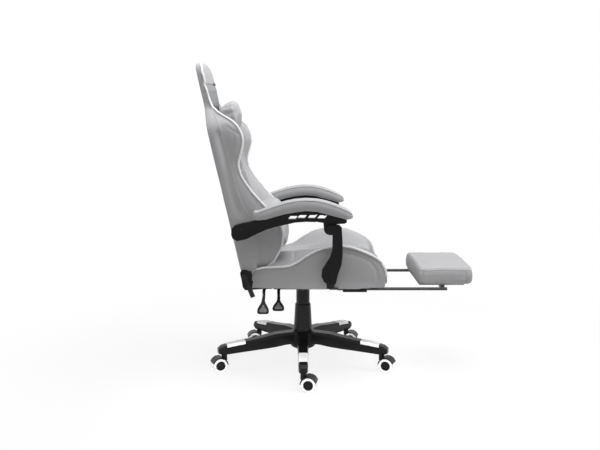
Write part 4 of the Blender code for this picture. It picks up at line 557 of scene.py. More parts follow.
weave.links.new(texture_noise(weave, weave_in.outputs["Fleck Scale"], 3.0, 0.7), weave_out.inputs["Fleck"])
weave.links.new(texture_noise(weave, weave_in.outputs["Shade Scale"], 4.0, 0.6), weave_out.inputs["Shade"])


def cloth_finish(name, thread, fleck, hole, pitch, hole_share, depth, sheen, specular):
    """Woven cloth: heathered threads, shadow between them, broad uneven shading and a soft sheen."""
    material, tree, shader = new_finish(name)
    thread, fleck, hole = (*thread, 1), (*fleck, 1), (*hole, 1)
    node = group_node(tree, weave, Pitch=pitch)
    flecked = tinted(tree, remap(tree, node.outputs["Fleck"], 0.35, 0.65, 0.0, 1.0), thread, fleck)
    shaded = tinted(tree, remap(tree, node.outputs["Shade"], 0.30, 0.70, 0.0, 0.16), flecked, fleck)
    gaps = math_node(tree, "MULTIPLY", node.outputs["Holes"], hole_share)
    tree.links.new(tinted(tree, gaps, shaded, hole), shader.inputs["Base Color"])
    tree.links.new(remap(tree, node.outputs["Fleck"], 0.2, 0.8, 0.78, 0.98), shader.inputs["Roughness"])
    shader.inputs["Sheen Weight"].default_value = sheen
    shader.inputs["Sheen Roughness"].default_value = 0.5
    shader.inputs["Specular IOR Level"].default_value = specular
    fibre = math_node(tree, "MULTIPLY", node.outputs["Fleck"], 0.35)
    relief(tree, shader, math_node(tree, "ADD", node.outputs["Threads"], fibre), depth)
    return material


grey_cloth, spacer_mesh, white_piping, grey_thread = [
    cloth_finish(name, *look)
    for name, *look in (
        # name, colours of thread, fleck and hole, pitch, share of the holes, depth, sheen, specular
        ("grey_cloth", (0.54, 0.54, 0.55), (0.46, 0.46, 0.47), (0.28, 0.28, 0.29), 0.0021, 0.40, 0.0003, 0.10, 0.25),
        ("spacer_mesh", (0.38, 0.38, 0.39), (0.31, 0.31, 0.32), (0.11, 0.11, 0.12), 0.0042, 0.80, 0.0006, 0.06, 0.25),
        ("white_piping", (0.96, 0.96, 0.96), (0.95, 0.95, 0.95), (0.90, 0.90, 0.90), 0.0012, 0.20, 0.0001, 0.60, 0.90),
        ("grey_thread", (0.62, 0.62, 0.62), (0.54, 0.54, 0.54), (0.30, 0.30, 0.30), 0.0007, 0.40, 0.0002, 0.10, 0.25),
    )
]

# the board's edges are wrapped in the bolsters' cloth, and the dust cloth closes its underside
board.data.materials.clear()
board.data.materials.append(dust_cloth)
board.data.materials.append(grey_cloth)
for face in board.data.polygons:
    face.material_index = 1 if abs(face.normal.z) < 0.5 else 0
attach(board, "seat")
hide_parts("seat_board")


def read(table, at, column=1):
    """The value of a table at a place between its rows."""
    for low, high in zip(table, table[1:]):
        if at <= high[0]:
            share = max((at - low[0]) / (high[0] - low[0]), 0.0)
            return low[column] + share * (high[column] - low[column])
    return table[-1][column]


def rounded(points, steps=6, closed=False):
    """A smooth line through the points, with this many steps between each two."""
    count = len(points)
    line = []
    for index in range(count if closed else count - 1):
        before = points[index - 1] if closed or index > 0 else points[0]
        here = points[index]
        there = points[(index + 1) % count]
        beyond = points[(index + 2) % count] if closed or index + 2 < count else points[-1]
        for step in range(steps):
            t = step / steps
            bend = (
                2 * here
                + (there - before) * t
                + (2 * before - 5 * here + 4 * there - beyond) * t**2
                + (3 * here - before - 3 * there + beyond) * t**3
            )
            line.append(bend / 2)
    if not closed:
        line.append(points[-1].copy())
    return line


def spaced(line, gap):
    """Points along a line at an even gap, ends included."""
    lengths = [0.0]
    for first, second in zip(line, line[1:]):
        lengths.append(lengths[-1] + (second - first).length)
    count = max(2, round(lengths[-1] / gap) + 1)
    points, index = [], 0
    for step in range(count):
        at = lengths[-1] * step / (count - 1)
        while index < len(line) - 2 and lengths[index + 1] < at:
            index += 1
        run = lengths[index + 1] - lengths[index]
        points.append(line[index].lerp(line[index + 1], (at - lengths[index]) / run if run else 0.0))
    return points


def points_of(data):
    co = np.empty(len(data.vertices) * 3)
    data.vertices.foreach_get("co", co)
    return co.reshape(-1, 3)


def distance_to(co, lines):
    """Distance of each point of an array from the nearest stretch of some lines."""
    nearest = np.full(len(co), 1e9)
    for line in lines:
        for first, second in zip(line, line[1:]):
            a, b = np.array(first), np.array(second)
            run = b - a
            t = np.clip(((co - a) @ run) / max(run @ run, 1e-12), 0, 1)
            nearest = np.minimum(nearest, np.linalg.norm(co - (a + t[:, None] * run), axis=1))
    return nearest


def shown_mesh(piece):
    """The piece's mesh with its modifiers applied."""
    bpy.context.view_layer.update()
    graph = bpy.context.evaluated_depsgraph_get()
    return bpy.data.meshes.new_from_object(piece.evaluated_get(graph))


def refined(piece):
    """Subdivides the piece once, with what other modifiers it has applied first."""
    modifier = piece.modifiers.new("finer", "SUBSURF")
    modifier.levels = modifier.render_levels = 1
    data = shown_mesh(piece)
    piece.modifiers.clear()
    piece.data = data


def displaced(piece, amount):
    """Moves each point of the piece along its normal by the amount that the function gives for all of them."""
    data = piece.data
    co = points_of(data)
    normals = np.empty(len(data.vertices) * 3)
    data.vertices.foreach_get("normal", normals)
    normals = normals.reshape(-1, 3)
    co += normals * amount(co, normals)[:, None]
    data.vertices.foreach_set("co", co.ravel())
    data.update()


def eased(share):
    """A share of an array held between 0 and 1 and eased at both ends."""
    share = np.clip(share, 0, 1)
    return share * share * (3 - 2 * share)


def reshaped(piece, move):
    """Shifts the points of the piece by what the function gives for all of them."""
    co = points_of(piece.data)
    piece.data.vertices.foreach_set("co", (co + move(co)).ravel())
    piece.data.update()


def reshaped_line(line, move):
    """The line shifted as reshaped shifts a piece, for what lies on that piece."""
    shifts = move(np.array([point[:] for point in line]))
    return [point + Vector(shift) for point, shift in zip(line, shifts)]


CLOTH_FRAMES = 20


def stuffed(name, node, seams, held=None, voxel=0.006, swell=4.0, most=0.006, slack=0.0015, material=grey_cloth):
    """A CAD cushion's solid made into stuffed cloth: remeshed, drawn in by slack, and blown up between
    its seams, by most at the furthest. The seams stay put, and so do the points that held picks."""
    piece = put_in_scene(name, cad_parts[node].data.copy())
    remesh = piece.modifiers.new("remesh", "REMESH")
    remesh.mode = "VOXEL"
    remesh.voxel_size = voxel
    data = shown_mesh(piece)
    piece.modifiers.clear()
    piece.data = data
    co = points_of(data)
    pinned = distance_to(co, seams) < voxel * 0.75
    if held is not None:
        pinned |= held(co)
    free = ~pinned
    displaced(piece, lambda co, normals: np.where(free, -slack, 0.0))
    start = points_of(data).copy()
    group = piece.vertex_groups.new(name="sewn")
    group.add([int(i) for i in np.flatnonzero(pinned)], 1.0, "REPLACE")
    cloth = piece.modifiers.new("cloth", "CLOTH")
    settings = cloth.settings
    settings.quality = 5
    settings.mass = 0.25
    settings.tension_stiffness = settings.compression_stiffness = 12
    settings.shear_stiffness = 8
    settings.bending_stiffness = 0.8
    settings.air_damping = 2
    settings.use_pressure = True
    settings.uniform_pressure_force = swell
    settings.vertex_group_mass = "sewn"
    settings.effector_weights.gravity = 0
    cloth.collision_settings.use_self_collision = False
    cloth.point_cache.frame_start, cloth.point_cache.frame_end = 1, CLOTH_FRAMES
    for number in range(1, CLOTH_FRAMES + 1):
        bpy.context.scene.frame_set(number)
    blown = shown_mesh(piece)
    moved = points_of(blown) - start
    bpy.data.meshes.remove(blown)
    piece.modifiers.clear()
    bpy.context.scene.frame_set(1)
    length = np.linalg.norm(moved, axis=1)
    moved *= np.minimum(1.0, most / np.maximum(length, 1e-9))[:, None]
    data.vertices.foreach_set("co", (start + moved).ravel())
    data.update()
    data.materials.clear()
    data.materials.append(material)
    smooth = piece.modifiers.new("smooth", "SMOOTH")
    smooth.factor, smooth.iterations = 0.5, 2
    refined(piece)
    piece.data.shade_smooth()
    return piece


def sunk_along(piece, lines, depth, width):
    """Draws the piece's surface in along sewn lines."""
    displaced(piece, lambda co, normals: -depth * np.exp(-((distance_to(co, lines) / width) ** 2)))


def rumpled(piece, amount, size, seed):
    """Slight unevenness of cloth over foam, in waves of this size; the seed sets where they lie."""
    shift = Vector((seed, seed * 0.37, seed * 0.71))

    def heights(co, normals):
        return np.array([amount * noise.noise(Vector(point) / size + shift) for point in co])

    displaced(piece, heights)


def skinned(mesh, rings, closed=False):
    """Joins rings of points by faces, and closes both ends or joins the last ring to the first."""
    pairs = list(zip(rings, rings[1:])) + ([(rings[-1], rings[0])] if closed else [])
    for low, high in pairs:
        for step in range(len(low)):
            after = (step + 1) % len(low)
            mesh.faces.new((low[step], low[after], high[after], high[step]))
    if not closed:
        mesh.faces.new(list(reversed(rings[0])))
        mesh.faces.new(rings[-1])
    return mesh


def cord_mesh(line, radius, sides=8, closed=False):
    """A round cord laid along the line."""
    mesh = bmesh.new()
    count = len(line)
    rings, across = [], None
    for index, point in enumerate(line):
        before = line[index - 1] if closed or index > 0 else line[0]
        after = line[(index + 1) % count] if closed or index + 1 < count else line[-1]
        along = (after - before).normalized()
        if across is None:
            across = along.orthogonal().normalized()
        across = (across - along * across.dot(along)).normalized()
        up = along.cross(across)
        ring = []
        for step in range(sides):
            angle = 2 * math.pi * step / sides
            ring.append(mesh.verts.new(point + radius * (math.cos(angle) * across + math.sin(angle) * up)))
        rings.append(ring)
    return skinned(mesh, rings, closed)


def skin_of(piece):
    """The piece's surface, for laying things on."""
    mesh = bmesh.new()
    mesh.from_mesh(piece.data)
    tree = BVHTree.FromBMesh(mesh)
    mesh.free()
    return tree


LAY_REACH = 0.03


def laid_on(skin, line, lift):
    """The line moved onto the surface and lifted off it, with the surface's normals."""
    points, normals = [], []
    for point in line:
        found, normal = skin.find_nearest(point, LAY_REACH)[:2]
        if found is not None:
            points.append(found + normal * lift)
            normals.append(normal)
    return points, normals


def stitch_row(skin, line, lift=0.0004, length=0.0045, gap=0.0024, thickness=0.0007):
    """A row of top stitches along the line, each a short thread that dips into the cloth at both ends."""
    rows = []
    spots, normals = laid_on(skin, spaced(line, length + gap), lift)
    for index in range(len(spots) - 1):
        run = spots[index + 1] - spots[index]
        if not 0.3 * (length + gap) < run.length < 2 * (length + gap):
            continue
        along = run.normalized() * length / 2
        middle = (spots[index] + spots[index + 1]) / 2
        dip = normals[index] * thickness * 1.2
        thread = [middle - along - dip, middle - along * 0.6, middle + along * 0.6, middle + along - dip]
        rows.append((cord_mesh(thread, thickness, 5), 0))
    return rows


def sewn(name, rows, material, body):
    """One piece out of sewn rows or cords, fixed to a body."""
    piece = new_piece(name, join_meshes(rows), [material], 180)
    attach(piece, body)
    return piece


def crowned(share):
    """How full foam stands at a share of the way from its middle, 0, to its edge, 1 or -1."""
    return 1 - min(abs(share), 1.0) ** 2.4


def across_shares(steps):
    """Even shares from one edge, -1, over the middle to the other, 1."""
    return [step / steps - 1 for step in range(2 * steps + 1)]


def seat_seam(side):
    """The seam between the sitting panel and a bolster, from the rear to the front lip."""
    return [
        place(side, SEAT_REAR + at * SEAT_CENTRE_LENGTH, SEAT_BOTTOM + SEAT_CENTRE_RISE * rise)
        for at, rise in SEAT_CENTRE_SHARES
    ]


def seat_channel(at):
    ahead = SEAT_REAR + at * SEAT_CENTRE_LENGTH
    height = SEAT_BOTTOM + SEAT_CENTRE_RISE * read(SEAT_CENTRE_SHARES, at)
    return [
        place(share * SEAT_SEAM_SIDE, ahead, height + SEAT_CROWN * crowned(share) - CHANNEL_DEPTH)
        for share in across_shares(10)
    ]


def lip_drawn_in(co):
    """The front lip is drawn back between the bolsters."""
    ahead, side = COLUMN_Y - co[:, 1], abs(co[:, 0] - COLUMN_X)
    pull = SEAT_LIP_PULL * eased((ahead - 0.215) / 0.122) * (1 - eased((side - 0.200) / 0.050))
    return np.stack((0 * pull, pull, 0 * pull), axis=1)


seat_channels = [seat_channel(at) for at in SEAT_CHANNELS]
seat_panel = stuffed(
    "seat_panel",
    "seat_cushion",
    [seat_seam(-SEAT_SEAM_SIDE), seat_seam(SEAT_SEAM_SIDE)] + seat_channels,
    held=lambda co: (co[:, 2] < SEAT_BOTTOM + 0.022) | (abs(co[:, 0] - COLUMN_X) > SEAT_SEAM_SIDE - 0.004),
    material=spacer_mesh,
)
reshaped(seat_panel, lip_drawn_in)
sunk_along(seat_panel, seat_channels, depth=0.0035, width=0.006)
rumpled(seat_panel, amount=0.0012, size=0.06, seed=3.1)
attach(seat_panel, "seat")
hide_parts("seat_cushion")
panel_skin = skin_of(seat_panel)
channel_rows = []
for channel in seat_channels:
    for shift in (-0.005, 0.005):
        channel_rows += stitch_row(panel_skin, [point + Vector((0, shift, 0.002)) for point in channel[1:-1]])
sewn("seat_channel_stitches", channel_rows, grey_thread, "seat")


# Seat bolsters: cut foam at each side of the seat in woven cloth, an upright side panel and a
# rounded top joined by a seam with white piping, and top stitched along both sides of it.
SEAT_PIPING_RISE = 0.160
SEAT_SIDE_SHARES = ((0.00, 0.915), (0.12, 0.930), (0.30, 0.985), (0.50, 1.000), (0.85, 1.000), (1.00, 0.975))
SEAT_PIPING_SHARES = (
    (-0.004, 0.030),
    (-0.004, 0.150),
    (-0.003, 0.290),
    (0.010, 0.400),
    (0.044, 0.450),
    (0.111, 0.490),
    (0.237, 0.515),
    (0.290, 0.544),
    (0.340, 0.625),
    (0.406, 0.769),
    (0.481, 0.894),
    (0.547, 0.956),
    (0.620, 0.994),
    (0.686, 1.000),
    (0.771, 0.950),
    (0.847, 0.856),
    (0.922, 0.737),
    (0.968, 0.619),
    (0.994, 0.440),
    (1.000, 0.290),
)
PIPING_RADIUS = 0.0041
SIDES = (("left", 1), ("right", -1))


def seat_side(share):
    return SEAT_HALF_WIDTH * read(SEAT_SIDE_SHARES, share)


def bolster_piping(hand, inset=0.0, drop=0.0):
    """The bolster's piped edge, or a line inside it by inset and below it by drop."""
    line = []
    for share, rise in SEAT_PIPING_SHARES:
        side = seat_side(share) - SEAT_SIDE_ROUND * 0.55 - inset
        height = SEAT_BOTTOM + SEAT_PIPING_RISE * rise - drop
        line.append(place(hand * side, SEAT_REAR + share * SEAT_LENGTH, height))
    return line


CREASE_SHARES = (
    (0.56, 0.80),
    (0.66, 0.845),
    (0.75, 0.81),
    (0.83, 0.72),
    (0.89, 0.60),
    (0.925, 0.44),
    (0.935, 0.22),
)


def side_panel_crease(hand):
    """A soft crease in the side panel, a hand's breadth inside its front corner."""
    return [
        place(hand * seat_side(share), SEAT_REAR + share * SEAT_LENGTH, SEAT_BOTTOM + SEAT_PIPING_RISE * rise)
        for share, rise in CREASE_SHARES
    ]


def pulled_to_board(co):
    """The side panel's lower edge is pulled down square to the board, and out square at its rear."""
    side, ahead, rise = co[:, 0] - COLUMN_X, COLUMN_Y - co[:, 1], co[:, 2] - SEAT_BOTTOM
    outer = eased((abs(side) - 0.215) / 0.015)
    low, rear = eased((0.030 - rise) / 0.018) * outer, eased((-0.170 - ahead) / 0.018) * outer
    drop = np.minimum(0.009 * low, np.maximum(rise + 0.0005, 0))
    return np.stack((np.sign(side) * (0.0030 * low + 0.0040 * rear), 0.0030 * rear, -drop), axis=1)


for side_name, hand in SIDES:
    piped_edge = bolster_piping(hand)
    bolster = stuffed(
        f"seat_side_bolster_{side_name}",
        f"seat_bolster_{side_name}",
        [piped_edge, seat_seam(hand * SEAT_SEAM_SIDE)],
        held=lambda co: (co[:, 2] < SEAT_BOTTOM + 0.010) | (abs(co[:, 0] - COLUMN_X) < SEAT_SEAM_SIDE + 0.003),
        most=0.005,
    )
    reshaped(bolster, lip_drawn_in)
    reshaped(bolster, pulled_to_board)
    crease = rounded(side_panel_crease(hand))
    sunk_along(bolster, [crease], depth=0.0034, width=0.007)
    rumpled(bolster, amount=0.0014, size=0.09, seed=5.3 + hand)
    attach(bolster, "seat")
    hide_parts(f"seat_bolster_{side_name}")
    bolster_skin = skin_of(bolster)
    piping_line, _ = laid_on(bolster_skin, spaced(rounded(piped_edge), gap=0.006), PIPING_RADIUS)
    piping = [(cord_mesh(piping_line, PIPING_RADIUS, 10), 0)]
    sewn(f"seat_piping_{side_name}", piping, white_piping, "seat")
    rows = stitch_row(bolster_skin, rounded(bolster_piping(hand, drop=0.010))[8:-8])
    rows += stitch_row(bolster_skin, rounded(bolster_piping(hand, inset=0.014))[8:-8])
    sewn(f"seat_piping_stitches_{side_name}", rows, grey_thread, "seat")


# Recline hinge: pressed steel ears on a strap under the seat carry the back's side plates, and a
# black plastic cover hides each pivot. A screw holds each cover.
hinge_cover_plastic = moulded_plastic(
    "hinge_cover_plastic", TRIM_BLACK, (0.012, 0.012, 0.0125), 0.28, 0.44, specular=0.15
)
HINGE_COVER_INNER, HINGE_COVER_OUTER = 0.2490, 0.2600
HINGE_COVER_OUTLINE = (
    (-0.2300, 0.4290),
    (-0.2318, 0.4230),
    (-0.2285, 0.4060),
    (-0.2215, 0.3760),
    (-0.2170, 0.3685),
    (-0.1960, 0.3670),
    (-0.1895, 0.3730),
    (-0.1880, 0.4200),
    (-0.1905, 0.4290),
)
HINGE_RIB, HINGE_RIB_RADIUS = ((-0.222, 0.421), (-0.214, 0.384), (-0.197, 0.379)), 0.0012
HINGE_SCREW = (-0.2085, 0.4090)


def plate_mesh(outline, inner, outer, corner, edge):
    """A plate with this (ahead, height) outline between two sides, its corners and outer edge rounded."""
    mesh = bmesh.new()
    low = [mesh.verts.new(place(inner, ahead, height)) for ahead, height in outline]
    high = [mesh.verts.new(place(outer, ahead, height)) for ahead, height in outline]
    mesh.faces.new(low)
    mesh.faces.new(high)
    for index in range(len(low)):
        after = (index + 1) % len(low)
        mesh.faces.new((low[index], low[after], high[after], high[index]))
    across = [line for line in mesh.edges if abs(line.verts[0].co.x - line.verts[1].co.x) > 1e-6]
    bmesh.ops.bevel(mesh, geom=across, offset=corner, segments=3, profile=0.5, affect="EDGES")
    rim = [line for line in mesh.edges if all(abs(end.co.x - COLUMN_X - outer) < 1e-6 for end in line.verts)]
    bmesh.ops.bevel(mesh, geom=rim, offset=edge, segments=3, profile=0.5, affect="EDGES")
    return mesh


def screw_mesh(radius, height):
    """A pan screw head with a round recess."""
    return turned_mesh(
        (
            (0, 0),
            (radius, 0),
            (radius, height * 0.4),
            (radius * 0.8, height * 0.85),
            (radius * 0.45, height),
            (radius * 0.38, height * 0.5),
            (0, height * 0.5),
        ),
        24,
    )


for side_name, hand in SIDES:
    inner_side, outer_side = hand * HINGE_COVER_INNER, hand * (HINGE_COVER_OUTER - 0.0015)
    face_side = hand * (HINGE_COVER_OUTER - 0.0018)
    cover = plate_mesh(HINGE_COVER_OUTLINE, inner_side, outer_side, corner=0.0022, edge=0.0022)
    rib = rounded([place(face_side, ahead, height) for ahead, height in HINGE_RIB], 5)
    head = set_against(screw_mesh(radius=0.0042, height=0.0018), place(face_side, *HINGE_SCREW), (hand, 0, 0))
    cover_parts = join_meshes([(cover, 0), (cord_mesh(rib, HINGE_RIB_RADIUS), 0), (head, 1)])
    hinge_cover = new_piece(f"hinge_cover_{side_name}", cover_parts, [hinge_cover_plastic, zinc], 45)
    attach(hinge_cover, "seat")
    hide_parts(f"recline_cover_{side_name}")


# both brackets are joggled in under the seat, so that the cushion's edge hides them: the arms' strap
# rises and its ears are narrower, and the hinges' ears come in above their strap
BRACKET_BENDS, STRAP_END_SIDE, EAR_SIDE = (-0.262, -0.228, 0.228, 0.262), 0.235, 0.270
ARM_STRAP_RISE, ARM_EAR_RISE, ARM_EAR_MIDDLE, ARM_EAR_MIDDLE_MOVED = 0.0045, 0.0130, 0.105, 0.098
HINGE_EAR_IN, HINGE_EAR_HEIGHT = 0.0170, 0.3627
for name in ("recline_bracket", "arm_bracket"):
    bracket = bmesh.new()
    bracket.from_mesh(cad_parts[name].data)
    for bend in BRACKET_BENDS:
        bmesh.ops.bisect_plane(
            bracket,
            geom=bracket.verts[:] + bracket.edges[:] + bracket.faces[:],
            plane_co=place(bend, 0, 0),
            plane_no=(1, 0, 0),
        )
    for vert in bracket.verts:
        side, ahead = vert.co.x - COLUMN_X, COLUMN_Y - vert.co.y
        if name == "arm_bracket" and abs(side) > STRAP_END_SIDE and vert.co.z < 0.380:
            vert.co.z += ARM_EAR_RISE if abs(side) > EAR_SIDE else ARM_STRAP_RISE
            if abs(side) > EAR_SIDE:
                vert.co.y = COLUMN_Y - (ARM_EAR_MIDDLE_MOVED + 0.5 * (ahead - ARM_EAR_MIDDLE))
        if name == "recline_bracket" and ahead > -0.180 and abs(side) > STRAP_END_SIDE:
            vert.co.x -= math.copysign(HINGE_EAR_IN, side)
            vert.co.z = HINGE_EAR_HEIGHT - 0.5 * max(HINGE_EAR_HEIGHT - vert.co.z, 0.0)
    joggled = new_piece(f"{name}_joggled", bracket, [powder_coat], 35)
    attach(joggled, "seat")
    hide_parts(name)


# Arms: black nylon links with a slotted web under a soft pad, hung from the back and joined to a
# broad post on the seat. Each joint is closed by a round cap, and a rib stiffens the lower edge.
arm_nylon = moulded_plastic("arm_nylon", NYLON_BLACK, (0.010, 0.010, 0.0105), 0.24, 0.38, specular=0.15)
dress(["arm_left", "arm_right", "post_left", "post_right"], arm_nylon)
ARM_REAR, ARM_LENGTH, ARM_BOTTOM, ARM_RISE = -0.259, 0.417, 0.548, 0.110
ARM_OUTER_SIDE, POST_OUTER_SIDE, CAP_SUNK = 0.2970, 0.2998, 0.0006
ARM_RIB_RADIUS, ARM_RIB_SUNK = 0.0016, 0.0004
ARM_CAP, POST_LOWER_CAP, POST_UPPER_CAP = (-0.222, 0.581), (0.105, 0.416), (0.101, 0.586)
ARM_RIB_SHARES = (
    (0.030, 0.170),
    (0.060, 0.110),
    (0.130, 0.160),
    (0.206, 0.300),
    (0.293, 0.450),
    (0.379, 0.560),
    (0.440, 0.610),
)


def cap_mesh(radius, height):
    """A round joint cap with a dished face."""
    return turned_mesh(
        (
            (0, 0),
            (radius, 0),
            (radius, height * 0.6),
            (radius * 0.92, height),
            (radius * 0.72, height),
            (radius * 0.60, height * 0.55),
            (radius * 0.30, height * 0.55),
            (radius * 0.22, height * 0.9),
            (0, height),
        ),
        40,
    )


for side_name, hand in SIDES:
    outward, rib_side = (hand, 0, 0), hand * (ARM_OUTER_SIDE - ARM_RIB_SUNK)
    arm_cap_side, post_cap_side = hand * (ARM_OUTER_SIDE - CAP_SUNK), hand * (POST_OUTER_SIDE - CAP_SUNK)
    rib_line = []
    for share, rise in ARM_RIB_SHARES:
        rib_line.append(place(rib_side, ARM_REAR + share * ARM_LENGTH, ARM_BOTTOM + rise * ARM_RISE))
    arm_rib = cord_mesh(rounded(rib_line), ARM_RIB_RADIUS)
    arm_cap = set_against(cap_mesh(radius=0.0120, height=0.0024), place(arm_cap_side, *ARM_CAP), outward)
    trim = new_piece(f"arm_rib_and_cap_{side_name}", join_meshes([(arm_rib, 0), (arm_cap, 0)]), [arm_nylon])
    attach(trim, f"arm_{side_name}")
    post_caps = []
    for radius, height, spot in ((0.0150, 0.0024, POST_LOWER_CAP), (0.0125, 0.0022, POST_UPPER_CAP)):
        post_caps.append((set_against(cap_mesh(radius, height), place(post_cap_side, *spot), outward), 0))
    caps = new_piece(f"post_caps_{side_name}", join_meshes(post_caps), [arm_nylon])
    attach(caps, f"post_{side_name}")


# Arm pads: foam in woven cloth over a bent board, a narrow top panel sewn to deeper side panels,
# and screwed up from below through the arm.
ARM_PAD_SIDE, ARM_PAD_HALF, ARM_PAD_REAR, ARM_PAD_LENGTH = 0.2860, 0.0390, -0.182, 0.361
ARM_PAD_BOTTOM, ARM_PAD_RISE = 0.6225, 0.0815
ARM_PAD_SHARES = (
    # (share of its length, of its rise at the underside, of its rise at the top, of its half width)
    (0.000, 0.040, 0.170, 0.55),
    (0.036, 0.014, 0.411, 0.86),
    (0.125, 0.055, 0.583, 1.00),
    (0.224, 0.178, 0.742, 1.00),
    (0.324, 0.300, 0.877, 1.00),
    (0.421, 0.387, 0.963, 1.00),
    (0.532, 0.436, 1.000, 1.00),
    (0.640, 0.405, 0.975, 1.00),
    (0.748, 0.276, 0.877, 1.00),
    (0.848, 0.165, 0.718, 0.98),
    (0.936, 0.040, 0.534, 0.88),
    (0.985, 0.090, 0.370, 0.68),
    (1.000, 0.140, 0.230, 0.50),
)


def pad_line(hand, out_share, up_share, ends=False):
    """A line along the pad, at shares of its half width and of its thickness, with or without its ends."""
    line = []
    for share, low, top, width in ARM_PAD_SHARES if ends else ARM_PAD_SHARES[1:-1]:
        rise = low + (top - low) * up_share
        side, ahead = ARM_PAD_SIDE + out_share * ARM_PAD_HALF * width, ARM_PAD_REAR + share * ARM_PAD_LENGTH
        line.append(place(hand * side, ahead, ARM_PAD_BOTTOM + rise * ARM_PAD_RISE))
    return line


def squared_end(co):
    """The board's square rear end lifts the top of the pad over it."""
    ahead = COLUMN_Y - co[:, 1]
    near, level = eased((-0.160 - ahead) / 0.020), np.clip((co[:, 2] - ARM_PAD_BOTTOM) / 0.022, 0, 1)
    return np.stack((0 * near, 0.0020 * near, 0.0125 * near * level), axis=1)


for side_name, hand in SIDES:
    top_seams = [rounded(pad_line(hand, out, 0.86)) for out in (-0.88, 0.88)]
    pad = stuffed(
        f"arm_cushion_{side_name}",
        f"arm_pad_{side_name}",
        top_seams + [rounded(pad_line(hand, out, 0.0, ends=True)) for out in (-0.8, 0.0, 0.8)],
        voxel=0.0045,
        swell=3.0,
        most=0.003,
        slack=0.001,
    )
    reshaped(pad, squared_end)
    sunk_along(pad, top_seams, depth=0.0020, width=0.0034)
    rumpled(pad, amount=0.0006, size=0.05, seed=7.7 + hand)
    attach(pad, f"arm_{side_name}")
    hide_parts(f"arm_pad_{side_name}")
    pad_skin = skin_of(pad)
    rows = []
    for out in (0.78, -0.78):
        line = rounded(pad_line(hand, out, 0.93))
        rows += stitch_row(pad_skin, line, length=0.0035, gap=0.002, thickness=0.0005)
    sewn(f"arm_cushion_stitches_{side_name}", rows, grey_thread, f"arm_{side_name}")
    welts = []
    for seam in top_seams:
        welt_line, _ = laid_on(pad_skin, spaced(seam, gap=0.005), 0.0009)
        welts.append((cord_mesh(welt_line, radius=0.0021), 0))
    sewn(f"arm_cushion_welts_{side_name}", welts, grey_cloth, f"arm_{side_name}")


# Back frame: flat painted steel with a side plate welded on at each hinge, between the cushions
# and the rear panel, so that only its edges and side plates show.
dress(["back_frame"], powder_coat)
BACK_FOOT_AHEAD, BACK_FOOT_HEIGHT, BACK_LENGTH = -0.223, 0.420, 0.789
BACK_HALF_WIDTH, BACK_SEAM_SIDE, BACK_PAD_OUT = 0.238, 0.150, 0.0126
LEAN_SIN, LEAN_COS = math.sin(math.radians(12.68)), math.cos(math.radians(12.68))


def back_place(side, up, out):
    """A point of the back: up its leaning line and out from it towards the sitter."""
    ahead = BACK_FOOT_AHEAD - up * LEAN_SIN + out * LEAN_COS
    return place(side, ahead, BACK_FOOT_HEIGHT + up * LEAN_COS + out * LEAN_SIN)


def in_back(co):
    """Sides, ups and outs of an array of points."""
    side = co[:, 0] - COLUMN_X
    ahead = COLUMN_Y - co[:, 1] - BACK_FOOT_AHEAD
    rise = co[:, 2] - BACK_FOOT_HEIGHT
    return side, rise * LEAN_COS - ahead * LEAN_SIN, ahead * LEAN_COS + rise * LEAN_SIN


# Rear panel: woven cloth stretched over thin foam on the back of the frame, with a seam up each
# side and one across below the shoulders.
BACK_WIDTH_SHARES = (
    (-0.008, 0.720),
    (0.000, 0.900),
    (0.040, 1.000),
    (0.100, 1.000),
    (0.440, 1.000),
    (0.560, 1.020),
    (0.650, 1.020),
    (0.700, 0.960),
    (0.750, 0.780),
    (0.790, 0.630),
    (0.850, 0.618),
    (0.930, 0.610),
    (0.970, 0.570),
    (0.990, 0.460),
    (0.998, 0.300),
)
REAR_CROWN, REAR_SEAM_SHARE, REAR_CROSS_UP_SHARE = 0.010, 0.74, 0.52


def rear_point(side, up_share):
    half = BACK_HALF_WIDTH * read(BACK_WIDTH_SHARES, up_share)
    return back_place(side, up_share * BACK_LENGTH, -REAR_CROWN * crowned(side / half))


def rear_side_seam(hand):
    line = []
    for step in range(25):
        share = 0.02 + 0.95 * step / 24
        half = hand * BACK_HALF_WIDTH * read(BACK_WIDTH_SHARES, share)
        line.append(rear_point(half * REAR_SEAM_SHARE, share))
    return line


rear_cross_half = BACK_HALF_WIDTH * REAR_SEAM_SHARE
rear_cross = [rear_point(rear_cross_half * x, REAR_CROSS_UP_SHARE) for x in across_shares(8)]
rear_seams = [rear_side_seam(1), rear_side_seam(-1), rear_cross]
back_cover = stuffed(
    "rear_cloth",
    "rear_panel",
    rear_seams,
    held=lambda co: in_back(co)[2] > 0.0005,
    voxel=0.005,
    swell=3.0,
    most=0.003,
    slack=0.0008,
)
sunk_along(back_cover, rear_seams, depth=0.0018, width=0.004)
rumpled(back_cover, amount=0.0008, size=0.10, seed=11.0)
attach(back_cover, "back")
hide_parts("rear_panel")
rear_skin = skin_of(back_cover)
rows = []
for seam, step in zip(rear_seams, ((-0.006, 0, 0), (0.006, 0, 0), (0, 0, 0.006))):
    rows += stitch_row(rear_skin, [point + Vector(step) for point in seam])
sewn("rear_cloth_stitches", rows, grey_thread, "back")


# Back cushion: the centre panel of spacer mesh between the wings, with three sewn channels across
# the lower back and the lumbar region.
BACK_CENTRE_DEPTH, BACK_CROWN = 0.085, 0.010
BACK_CHANNELS = (0.16, 0.32, 0.46)
BACK_CENTRE_SHARES = (
    (0.014, 0.60),
    (0.022, 0.84),
    (0.055, 0.97),
    (0.120, 1.00),
    (0.200, 0.98),
    (0.300, 0.88),
    (0.400, 0.75),
    (0.500, 0.64),
    (0.600, 0.52),
    (0.680, 0.38),
    (0.740, 0.27),
    (0.770, 0.22),
)


def centre_out(share):
    return BACK_CENTRE_DEPTH * read(BACK_CENTRE_SHARES, share)


